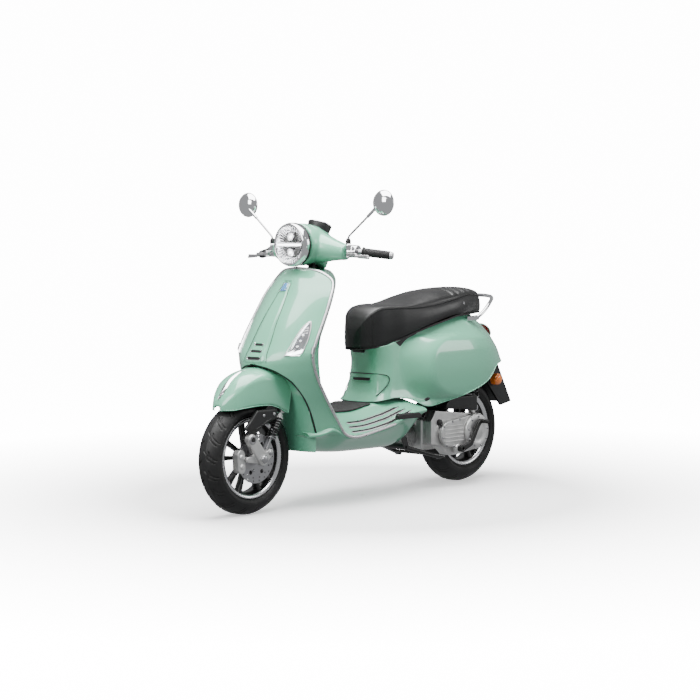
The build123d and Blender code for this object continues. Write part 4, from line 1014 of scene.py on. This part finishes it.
def make_lamp():
    at = (0, 0, LAMP_Z)
    turned("lamp_ring", [(404, 84), (404, 88.5), (412, 90), (426, 90), (436, 87), (440.5, 82), (440, 78.5), (434, 77),
                         (420, 77)], at, (1, 0, 0), "steering", "chrome_plate", ("headlight_ring",), caps=False)
    turned("lamp_seal", [(400, 86.5), (400, 89), (404, 89.5), (405, 86)], at, (1, 0, 0), "steering", "black_rubber")
    turned("lamp_glass", [(433, 77.5), (437, 74), (443, 60), (447.5, 36), (449, 14), (449.2, 0.3)], at, (1, 0, 0),
           "steering", "clear_lens", ("headlight_lens",), caps=False)
    turned("lamp_bowl", [(432, 77), (424, 70), (408, 56), (398, 36), (396, 14), (396, 0.4)], at, (1, 0, 0),
           "steering", "chrome_plate", caps=False)
    parts = []
    for k in range(36):
        angle = 2 * pi * k / 36
        y0, z0 = 34 * cos(angle), 34 * sin(angle)
        y1, z1 = 74 * cos(angle), 74 * sin(angle)
        a = Vector((400, y0, LAMP_Z + z0))
        b = Vector((430, y1, LAMP_Z + z1))
        parts.append(drum_part([(0, 1.2), ((b - a).length, 1.2)], a, b - a, 6))
    group("lamp_flutes", parts, "steering", "chrome_plate")
    bar = []
    for y in spread(-66, 66, 17):
        bow = 432 + 8 * (1 - (y / 66) ** 2)
        bar.append([(bow - 6, y, LAMP_Z + 8.5), (bow, y, LAMP_Z + 7.5), (bow + 1.5, y, LAMP_Z + 3),
                    (bow + 1.5, y, LAMP_Z - 3), (bow, y, LAMP_Z - 7.5), (bow - 6, y, LAMP_Z - 8.5)])
    skin("lamp_bar", bar, "steering", "chrome_plate")
    turned("lamp_bulb_cap", [(398, 15), (422, 15), (427, 11), (429, 0.4)], (0, 0, LAMP_Z + 30), (1, 0, 0), "steering",
           "satin_trim", count=32)
    turned("lamp_low_cap", [(398, 15), (422, 15), (427, 11), (429, 0.4)], (0, 0, LAMP_Z - 30), (1, 0, 0), "steering",
           "satin_trim", count=32)


def make_dial():
    axis = Vector((-15, 0, 35)).normalized()
    base = Vector((268, 0, 1123))
    turned("dial_housing", [(-14, 44), (20, 48), (34, 50), (38.5, 49), (38.5, 44), (34, 43)], base, axis, "steering",
           "black_plastic", ("instrument_cluster",), caps=False)
    turned("dial_face", [(33.5, 44), (33.6, 0.3)], base, axis, "steering", "black_plastic", caps=False)
    turned("dial_bezel", [(36, 50.5), (39.5, 50.5), (40.5, 48), (39, 44.5)], base, axis, "steering", "chrome_plate",
           caps=False)
    side = Vector((0, 1, 0))
    up = axis.cross(side)
    marks = []
    for k in range(25):
        angle = radians(-120 + 240 * k / 24)
        ray = side * sin(angle) + up * -cos(angle)
        start = base + axis * 34.4 + ray * (36 if k % 4 else 32)
        marks.append(drum_part([(0, 0.7 if k % 4 else 1.1), (40 - (36 if k % 4 else 32), 0.7)], start, ray, 6))
    group("dial_marks", marks, "steering", "satin_trim")
    needle_ray = (side * sin(radians(-118)) + up * -cos(radians(-118)))
    group("dial_needle", [drum_part([(-6, 1.6), (30, 0.5)], base + axis * 35.5, needle_ray, 8),
                          drum_part([(0, 4.5), (2.5, 4)], base + axis * 34.4, axis, 20)], "steering", "amber_lens")
    turned("dial_glass", [(38.5, 44), (40.2, 30), (41, 0.4)], base, axis, "steering", "clear_lens", caps=False)


def make_grips():
    for side, body, node, name in ((1, "steering", "grip_left", "left"), (-1, "throttle", "throttle_grip", "right")):
        profile = [(14, 12), (14, 20.5), (17, 21), (20, 20), (22, 16.6)]
        for k in range(26):
            start = 24 + k * 4.0
            profile += [(start, 16.9), (start + 1.2, 17.5), (start + 2.4, 17.5), (start + 3.2, 16.6)]
        profile += [(128, 17.4), (129.4, 16), (129.4, 12)]
        turned("grip_cover_" + name, profile, BAR_BEND if side > 0 else bar_point(0, -1), bar_axis(side), body,
               "black_rubber", (node,), caps=False, count=40)
        end = [(130.4, 10), (130.4, 15), (132, 16), (136, 16), (137, 14), (141, 14.5), (143, 12.5), (143.6, 0.4)]
        turned("bar_end_" + name, end, BAR_BEND if side > 0 else bar_point(0, -1), bar_axis(side), "steering",
               "satin_trim", count=40)


def make_mirrors():
    for side, body, node, name in ((1, "left_mirror", "mirror_left", "left"), (-1, "right_mirror", "mirror_right", "right")):
        head = (0, side * 387, 1242)
        shell = [(285, 49.5), (284, 51.5), (288, 52.5), (294, 51.5), (303, 46), (311, 37), (317, 25), (320, 11), (320.5, 0.4)]
        turned("mirror_shell_" + name, shell, head, (1, 0, 0), body, "chrome_plate", (node,), caps=False)
        turned("mirror_glass_" + name, [(285.5, 49.8), (285.2, 30), (285, 0.4)], head, (1, 0, 0), body, "chrome_plate",
               caps=False, material=MIRROR)
        stem = [(315, 217, 1092), (315, 218, 1102), (315, 221, 1110), (312, 268, 1147), (309, 322, 1190), (308, 354, 1216),
                (308, 374, 1232)]
        wire("mirror_stem_" + name, [(x, side * y, z) for x, y, z in stem], 4.3, body, "bare_steel")
        wire("mirror_sleeve_" + name, [(x, side * y, z) for x, y, z in ((309, 318, 1187), (308, 340, 1205), (308, 370, 1229))],
             6.6, body, "chrome_plate")
        nut = drum_part([(0, 12.5), (16, 12.5), (18, 10)], (315, side * 217, 1077.5), (0, 0, 1), 6)
        cap = drum_part([(16, 9), (22, 8), (24, 5)], (315, side * 217, 1077.5), (0, 0, 1), 20)
        piece = group("mirror_nut_" + name, [nut, cap], body, "black_plastic")
        round_edges(piece, 1.0)


make_headset()
make_lamp()
make_dial()
make_grips()
make_mirrors()
fused_node("switch_housings", "steering", "chrome_plate", 1.8, 8)
fused_node("brake_lever_left", "lever_left", "chrome_plate", 1.3, 6).data.materials[0] = MATERIALS["satin_trim"]
fused_node("brake_lever_right", "lever_right", "chrome_plate", 1.3, 6).data.materials[0] = MATERIALS["satin_trim"]

# ---------------------------------------------------------------- front fender
FENDER_CROWN = [(478, 512), (520, 556), (570, 578), (640, 587), (702, 577), (772, 545), (822, 493), (843, 462), (851, 440)]
FENDER_CREASE = [(478, 498), (520, 517), (579, 532), (663, 537), (746, 520), (803, 480), (835, 448), (851, 434)]
FENDER_LOW = [(478, 400), (539, 402), (600, 428), (650, 440), (702, 441), (772, 436), (822, 429), (851, 429)]
FENDER_HALF = [(478, 86), (520, 91), (570, 94), (640, 94), (702, 92), (760, 84), (800, 68), (830, 46), (845, 28), (851, 12)]


def fender_point(u, t):
    """A point on the left of the fender: u from the front tip back, t from the crown down to the lower edge."""
    x = 850.5 + (478 + 62 * t - 850.5) * u
    crown = smooth(FENDER_CROWN, x)
    crease = smooth(FENDER_CREASE, x)
    low = smooth(FENDER_LOW, x)
    half = smooth(FENDER_HALF, x)
    if t < 0.6:
        angle = t / 0.6 * pi / 2
        return (x, half * 0.94 * sin(angle), crease + (crown - crease) * cos(angle) ** 0.9)
    v = (t - 0.6) / 0.4
    return (x, half * (0.94 + 0.06 * sin(v * pi / 2) - 0.02 * v), crease + (low - crease) * v)


def make_fender():
    rows = [[fender_point(u, t) for t in spread(0, 0.6, 26)[:-1] + spread(0.6, 1, 12)] for u in spread(0, 1, 90)]
    piece = mesh("fender_skin", *both_sides(rows), "steering", "body_paint", ("front_fender",))
    relax = piece.modifiers.new("relax", "SMOOTH")
    relax.factor = 0.5
    relax.iterations = 5
    thicken(piece, 2.6)
    for side, name in ((1, "left"), (-1, "right")):
        hem = [fender_point(u, 1.0) for u in spread(0.0, 1.0, 26)]
        back = [fender_point(1.0, t) for t in spread(1.0, 0.0, 12)]
        wire("fender_hem_" + name, [(x, side * (y - 1), z) for x, y, z in hem + back], 2.2, "steering", "body_paint")


CREST = [(700, 1), (722, 5), (750, 9), (780, 12), (806, 13), (826, 9), (838, 3)]


def make_crest():
    rows = []
    for x in spread(700, 838, 30):
        half = smooth(CREST, x)
        z = smooth(FENDER_CROWN, x)
        slope = (smooth(FENDER_CROWN, x + 2) - smooth(FENDER_CROWN, x - 2)) / 4
        out = Vector((-slope, 0, 1)).normalized()
        row = []
        for w in spread(-1, 1, 11):
            lift = 1.0 + (5.5 if x > 760 else 5.5 * (x - 690) / 70) * (1 - abs(w) ** 1.3)
            row.append(Vector((x, w * half, z)) + out * lift)
        rows.append(row)
    skin("fender_crest", rows, "steering", "chrome_plate")


make_fender()
make_crest()
fused_node("fork_cover", "steering", "black_plastic", 2.2, 10)
for k in range(3):
    wire(f"cover_rib_{k}", [(650 + 9 * k, 103.4, 388 - 3 * k), (676 + 9 * k, 103.6, 372 - 3 * k),
                            (716 + 9 * k, 103.4, 358 - 3 * k)], 1.6, "steering", "black_plastic")
group("cover_screws", [drum_part([(0, 6), (2, 6), (3, 4.5)], (690, 102.6, 402), (0, 1, 0), 24),
                       drum_part([(0, 6), (2, 6), (3, 4.5)], (632, 102.6, 404), (0, 1, 0), 24)], "steering", "bare_steel")

# ---------------------------------------------------------------- wheels
def tread(angle_mm, across):
    """Groove depth at a place on the tyre: angle_mm round it, across from its middle."""
    period = 78.0
    side = 1 if across >= 0 else -1
    y = abs(across)
    t = (angle_mm + (0 if side > 0 else period / 2)) % period
    best = 99.0
    for shift in (-period, 0, period):
        for line in (((6, 4), (20, 18), (22, 34), (44, 54)), ((26, 6), (30, 24), (46, 38), (56, 44))):
            for (y0, t0), (y1, t1) in zip(line, line[1:]):
                dy, dt = y1 - y0, t1 - t0
                k = ((y - y0) * dy + (t - shift - t0) * dt) / (dy * dy + dt * dt)
                k = min(max(k, 0.0), 1.0)
                best = min(best, hypot(y - y0 - k * dy, t - shift - t0 - k * dt))
    return 4.6 * (1 - ease((best - 1.7) / 1.5))


def tyre_outline(radius, width, bead):
    """Outer half-section of a tyre, as (offset, radius) pairs from one bead to the other."""
    wide = width / 2
    crown = []
    for a in spread(0, 1, 61):
        s = 2 * a - 1
        y = wide * 0.93 * s
        drop = (abs(s) ** 2.6) * 30
        crown.append((y, radius - drop if abs(y) > 16 else radius))
    side = [(wide * 0.99, radius - 38), (wide, radius - 48), (wide * 0.97, radius - 58), (bead + 1, 167), (bead - 2, 163)]
    left = [(-y, r) for y, r in reversed(side)]
    return left + crown + side


def make_tyre(name, axle, radius, width, bead, body, node):
    outline = tyre_outline(radius, width, bead)
    around = 720
    rows = []
    for k in range(around):
        angle = 2 * pi * k / around
        row = []
        for y, r in outline:
            cut = 0.0
            if r > radius - 30 and abs(y) > 3:
                cut = tread(angle * radius, y)
            rr = r - cut
            row.append((axle[0] + rr * sin(angle), y, axle[1] + rr * cos(angle)))
        rows.append(row)
    rows.append(rows[0])
    inner = [(bead - 2, 163), (bead - 6, 156), (0, radius - 26), (6 - bead, 156), (2 - bead, 163)]
    points, faces = strips(rows)
    back, more = strips([[(axle[0] + r * sin(2 * pi * k / 64), y, axle[1] + r * cos(2 * pi * k / 64)) for y, r in inner]
                         for k in range(65)])
    group(name, [(points, faces), (back, more)], body, "tyre_rubber", (node,))
    for side in (-1, 1):
        for r, lift in ((172, 0.6), (186, 0.7)):
            ring = [(axle[0] + r * cos(a), side * (width / 2 * (0.91 if r < 180 else 0.985) + lift), axle[1] + r * sin(a))
                    for a in [2 * pi * k / 24 for k in range(24)]]
            wire(f"{name}_line_{side}_{r}", ring, 1.1, body, "tyre_rubber", closed=True)


def rim_ring(half):
    """Closed profile of the barrel with its two flanges."""
    return [(half, 164), (half - 3, 164.6), (half - 4.5, 160), (half - 6, 154), (half - 18, 153), (half - 24, 146),
            (24 - half, 146), (18 - half, 153), (6 - half, 154), (4.5 - half, 160), (3 - half, 164.6), (-half, 164),
            (-half, 159), (2 - half, 150), (16 - half, 147), (23 - half, 140), (half - 23, 140), (half - 16, 147),
            (half - 2, 150), (half, 159), (half, 164)]


def twin_spokes(axle, web, hub, count, spread_deg, wide):
    """Twin arms from the hub to the barrel."""
    parts = []
    for k in range(count):
        for side in (-1, 1):
            base = radians(360 / count * k + 90)
            a0 = base + side * radians(spread_deg * 1.15)
            a1 = base + side * radians(spread_deg)
            rows = []
            for t in spread(0, 1, 7):
                r = hub + (144 - hub) * t
                a = a0 + (a1 - a0) * t
                centre = Vector((axle[0] + r * cos(a), web + 7 * t, axle[1] + r * sin(a)))
                cross = Vector((-sin(a), 0, cos(a)))
                w = wide * (1.25 - 0.35 * sin(pi * t) + 0.25 * t ** 4)
                rows.append([centre + cross * (w * c) + Vector((0, 15 * d, 0))
                             for c, d in ((-1, -0.6), (-0.8, 0.9), (-0.35, 1.15), (0.35, 1.15), (0.8, 0.9), (1, -0.6),
                                          (0.5, -1), (-0.5, -1))])
            points, faces = strips(rows, True)
            parts.append((points, faces))
    return parts


def make_rim(name, axle, half, web, hub, hub_low, hub_high, body, node):
    profile = rim_ring(half)
    points, faces = strips(lathe([(y, r) for y, r in profile], (axle[0], 0, axle[1]), (0, 1, 0), 160), True)
    group(name + "_barrel", [(points, faces)], body, "rim_alloy", (node,))
    dark = [(half - 3, 150.3), (half - 16, 146.6), (half - 23, 139.6), (23 - half, 139.6), (16 - half, 146.6),
            (3 - half, 150.3)]
    skin(name + "_barrel_paint", lathe(dark, (axle[0], 0, axle[1]), (0, 1, 0), 160), body, "black_steel", wrap=True)
    spokes = group(name + "_spokes", twin_spokes(axle, web, hub - 4, 5, 13.5, 9.0), body, "black_steel")
    centre = drum_part([(hub_low, hub * 0.8), (hub_low + 4, hub), (hub_high - 4, hub), (hub_high, hub * 0.85)],
                       (axle[0], 0, axle[1]), (0, 1, 0), 64)
    group(name + "_hub", [centre], body, "black_steel")
    valve = Vector((axle[0] + 138 * cos(0.5), web + 14, axle[1] + 138 * sin(0.5)))
    group(name + "_valve", [drum_part([(0, 4), (16, 3), (17, 4), (27, 4), (29, 2)], valve,
                                      (-cos(0.5), 0.5, -sin(0.5)), 16)], body, "black_rubber")
    return spokes


FRONT_AXLE = (700.0, 229.5)
REAR_AXLE = (-634.0, 236.5)
make_tyre("front_tyre_tread", FRONT_AXLE, 229.5, 110, 43, "front_wheel", "front_tyre")
make_tyre("rear_tyre_tread", REAR_AXLE, 236.5, 120, 47, "rear_wheel", "rear_tyre")
make_rim("front_rim", FRONT_AXLE, 46, 8, 34, -34, 60, "front_wheel", "front_rim")
make_rim("rear_rim", REAR_AXLE, 50, 12, 60, -12, 55, "rear_wheel", "rear_rim")

# disc bolts, front arm, calliper and arm caps
group("disc_bolts", [bolt((700 + 50 * cos(a), 66.5, 229.5 + 50 * sin(a)), (0, 1, 0), 5, 4)
                     for a in [2 * pi * k / 5 for k in range(5)]], "front_wheel", "bare_steel")
fused_node("front_arm", "front_link", "cast_alloy", 1.8, 8)
fused_node("brake_calliper", "front_link", "cast_alloy", 1.6, 6)
group("arm_caps", [drum_part([(0, 19), (3, 19), (5, 16), (5.5, 8), (4, 7.5)], (762, 111, 312), (0, 1, 0), 48),
                   drum_part([(0, 17), (5, 17), (8, 12), (8.2, 1)], (700, 115, 229.5), (0, 1, 0), 6),
                   drum_part([(0, 11), (4, 11), (6, 8)], (662, 111, 252), (0, 1, 0), 6)], "front_link", "bare_steel")


# ---------------------------------------------------------------- springs
def coil(name, foot, top, y, low, high, radius, wire_r, turns, body, node, slot):
    """A coil spring at its rest length, wound by a loop. It rides on one body and does not compress."""
    a = Vector((foot[0], y, foot[1]))
    b = Vector((top[0], y, top[1]))
    axis = (b - a).normalized()
    side = Vector((0, 1, 0))
    other = axis.cross(side)
    points = []
    steps = turns * 12
    for k in range(steps + 1):
        t = 2 * pi * turns * k / steps
        points.append(a + axis * (low + wire_r + (high - low - 2 * wire_r) * k / steps)
                      + (side * cos(t) + other * sin(t)) * radius * 1.06)
    return wire(name, points, wire_r, body, slot, (node,))


coil("front_coil", (662, 252), (565, 416), 80, 65.4, 150.6, 16.2, 3.1, 7, "front_damper_top",
     "front_spring", "black_steel")
coil("rear_coil", (-640, 335), (-600, 560), 100, 54.4, 194.6, 20.5, 4.0, 8, "rear_damper_top",
     "rear_spring", "black_steel")

# ---------------------------------------------------------------- engine, transmission, exhaust
fused_node("engine_case", "engine", "cast_alloy", 2.4, 8)
fused_node("airbox", "engine", "black_plastic", 2.4, 8)
fused_node("kick_lever", "kick", "black_plastic", 1.6, 6)


def make_cvt():
    long_cover = [drum_part([(132.4, 80), (150, 79), (157, 74), (158, 60)], (-577, 0, 238), (0, 1, 0), 72)]
    outline = arc((-577, 238), 78, 90, 270, 24) + arc((-402, 240), 57, 270, 450, 20)
    points, faces = plate(outline, 132.4, 154)
    body = group("cvt_casting", [(points, faces)] + long_cover, "engine", "cast_alloy", ("cvt_cover",))
    round_edges(body, 6, 3, 40)
    turned("clutch_cover", [(154, 79), (160, 79), (166, 77), (169.5, 71), (170, 50), (168, 46), (167.5, 30), (169, 26),
                            (169.5, 0.4)], (-577, 0, 238), (0, 1, 0), "engine", "cast_alloy", count=96)
    bolts = [bolt((-577 + 66 * cos(a), 169.5, 238 + 66 * sin(a)), (0, 1, 0), 4.6, 4)
             for a in [2 * pi * k / 9 + 0.2 for k in range(9)]]
    bolts += [bolt((x, 154, z), (0, 1, 0), 4.6, 4) for x, z in ((-470, 298), (-420, 292), (-362, 275), (-352, 225),
                                                                (-380, 190), (-430, 184), (-487, 176))]
    group("cvt_bolts", bolts, "engine", "bare_steel")
    ribs = []
    for k in range(5):
        z = 206 + k * 17
        rows = [[(x, 153.6 + lift, z + dz) for x in (-490, -478, -380, -366)]
                for dz, lift in ((-3.5, 0), (-1.5, 3.2), (1.5, 3.2), (3.5, 0))]
        ribs.append(strips(rows))
    group("cvt_ribs", ribs, "engine", "cast_alloy")
    turned("kick_boss", [(132, 21), (150, 20), (160, 17), (161, 8)], (-455, 0, 172), (0, 1, 0), "engine", "cast_alloy",
           count=40)


def make_exhaust():
    start = Vector((-450, -132, 216))
    run = Vector((-285, 0, 46))
    turned("muffler", [(-2, 16), (2, 32), (14, 44), (24, 46), (262, 46), (276, 43), (286, 32), (288, 12)], start, run,
           "engine", "bare_steel", ("exhaust",), count=72)
    pipe = [(-256, -54, 207), (-256, -80, 207), (-258, -104, 206), (-290, -122, 204), (-340, -133, 203), (-400, -133, 209),
            (-455, -132, 217)]
    wire("exhaust_pipe", pipe, 13, "engine", "bare_steel")
    shield = []
    axis = run.normalized()
    out = Vector((0, -1, 0))
    up = axis.cross(out) * -1
    for t in spread(40, 240, 12):
        centre = start + axis * t
        shield.append([centre + (out * cos(a) + up * sin(a)) * 49.5 for a in spread(radians(-70), radians(80), 20)])
    thicken(skin("exhaust_shield", shield, "engine", "black_steel"), 1.6, 1.0)
    turned("exhaust_outlet", [(286, 12), (286, 14), (312, 14), (312, 11.5), (290, 11.5)], start, run, "engine",
           "bare_steel", caps=False, count=32)
    group("exhaust_bolts", [bolt(start + axis * t + out * 50, out, 5, 4) for t in (60, 220)], "engine", "bare_steel")


make_cvt()
make_exhaust()
turned("oil_filler", [(0, 14), (9, 14), (11, 12), (11.5, 3)], (-352, 131, 292), (0, 1, 0.1), "engine", "black_plastic",
       count=24)
turned("drain_plug", [(0, 11), (5, 11), (7, 8)], (-338, -92, 236), (0, -1, 0), "engine", "bare_steel", count=6)


def make_pegs():
    for side, body, node, name in ((1, "peg_left", "footpeg_left", "left"), (-1, "peg_right", "footpeg_right", "right")):
        outline = [(22, -11), (22, 8), (6, 11), (-112, 11), (-124, 4), (-128, -4), (-124, -12), (-92, -12), (-40, -10)]
        y = side * 215
        points = [(x - 2, y - 11, 350 + z) for x, z in outline] + [(x - 2, y + 11, 350 + z) for x, z in outline]
        count = len(outline)
        faces = [tuple(range(count)), tuple(range(count, 2 * count))]
        faces += [(i, (i + 1) % count, count + (i + 1) % count, count + i) for i in range(count)]
        peg = mesh("peg_body_" + name, points, faces, body, "black_plastic", (node,))
        round_edges(peg, 3.5, 4)
        pads = []
        for k in range(8):
            x = 12 - 12 * k
            pads.append(drum_part([(-9, 2.2), (9, 2.2)], (x, y, 361), (0, 1, 0), 10))
        group("peg_grip_" + name, pads, body, "black_rubber")


make_pegs()

# ---------------------------------------------------------------- floor, backdrop and lights
WALL_GLOW = 14.0


def stage_piece(name, rows, shade, glow, near=None):
    """A matt glowing sheet of the studio; near is the share of the glow left at the middle, which paints shade there.
    """
    points, faces = strips(rows)
    data = bpy.data.meshes.new(name)
    data.from_pydata([tuple(p) for p in points], [], faces)
    sheet = bpy.data.objects.new(name, data)
    bpy.context.scene.collection.objects.link(sheet)
    for face in data.polygons:
        face.use_smooth = True
    white = new_material(name, (shade, shade, shade), 0.0, 0.9)
    shader = white.node_tree.nodes["Principled BSDF"]
    shader.inputs["Specular IOR Level"].default_value = 0.0
    shader.inputs["Emission Color"].default_value = (1.0, 1.0, 1.0, 1.0)
    shader.inputs["Emission Strength"].default_value = glow
    # Painted shade: the glow fades towards the middle, so the floor is darker round the scooter than its cast shadow
    # alone makes it.
    if near is not None:
        nodes = white.node_tree.nodes
        links = white.node_tree.links
        place = nodes.new("ShaderNodeTexCoord")
        mapping = nodes.new("ShaderNodeMapping")
        mapping.inputs["Scale"].default_value = (0.3, 0.3, 0.3)
        shade_gradient = nodes.new("ShaderNodeTexGradient")
        shade_gradient.gradient_type = "SPHERICAL"
        ramp = nodes.new("ShaderNodeValToRGB")
        ends = ramp.color_ramp.elements
        ends[0].color = (1.0, 1.0, 1.0, 1.0)
        ends[0].position = 0.12
        ends[1].color = (near, near, near, 1.0)
        ends[1].position = 0.72
        links.new(place.outputs["Object"], mapping.inputs["Vector"])
        links.new(mapping.outputs["Vector"], shade_gradient.inputs["Vector"])
        links.new(shade_gradient.outputs["Fac"], ramp.inputs["Fac"])
        links.new(ramp.outputs["Color"], shader.inputs["Emission Color"])
    data.materials.append(white)
    return sheet


STUDIO_R = 12.0


def make_stage():
    """A white floor whose glow is dimmed under the scooter as painted shade, inside a glowing round wall."""
    around = spread(0, 2 * pi, 65)
    floor = [[Vector((r * cos(a), r * sin(a), 0)) for a in around] for r in (0.01, 2.0, 5.0, STUDIO_R)]
    # The floor keeps 0.05 of its glow at the middle: painted shade round the scooter.
    ground = stage_piece("studio_floor", floor, 0.9, WALL_GLOW, 0.05)
    wall = [[Vector((STUDIO_R * cos(a), STUDIO_R * sin(a), z)) for a in around] for z in (-0.01, 4.0, 9.0)]
    backdrop = stage_piece("studio_backdrop", wall, 0.9, WALL_GLOW)
    for sheet in (ground, backdrop):
        sheet.visible_diffuse = False
        sheet.visible_glossy = False
    backdrop.visible_shadow = False


def make_light(name, at, target, size, power, color=(1, 1, 1)):
    """A soft square light that faces a target."""
    data = bpy.data.lights.new(name, "AREA")
    data.size = size
    data.energy = power
    data.color = color
    lamp = bpy.data.objects.new(name, data)
    lamp.location = at
    lamp.rotation_euler = (Vector(target) - Vector(at)).to_track_quat("-Z", "Y").to_euler()
    bpy.context.scene.collection.objects.link(lamp)


def make_world():
    world = bpy.data.worlds.new("studio")
    world.use_nodes = True
    world.node_tree.nodes["Background"].inputs["Color"].default_value = (0.96, 0.98, 1.0, 1.0)
    world.node_tree.nodes["Background"].inputs["Strength"].default_value = 0.42
    bpy.context.scene.world = world


make_stage()
make_world()
make_light("overhead", (0.3, 0.2, 3.6), (0, 0, 0.4), 3.4, 420)
make_light("key_front", (3.8, 0.4, 2.6), (0.3, 0, 0.6), 2.0, 110)
make_light("fill_rear", (-3.4, 3.2, 1.8), (-0.5, 0, 0.6), 1.6, 40)
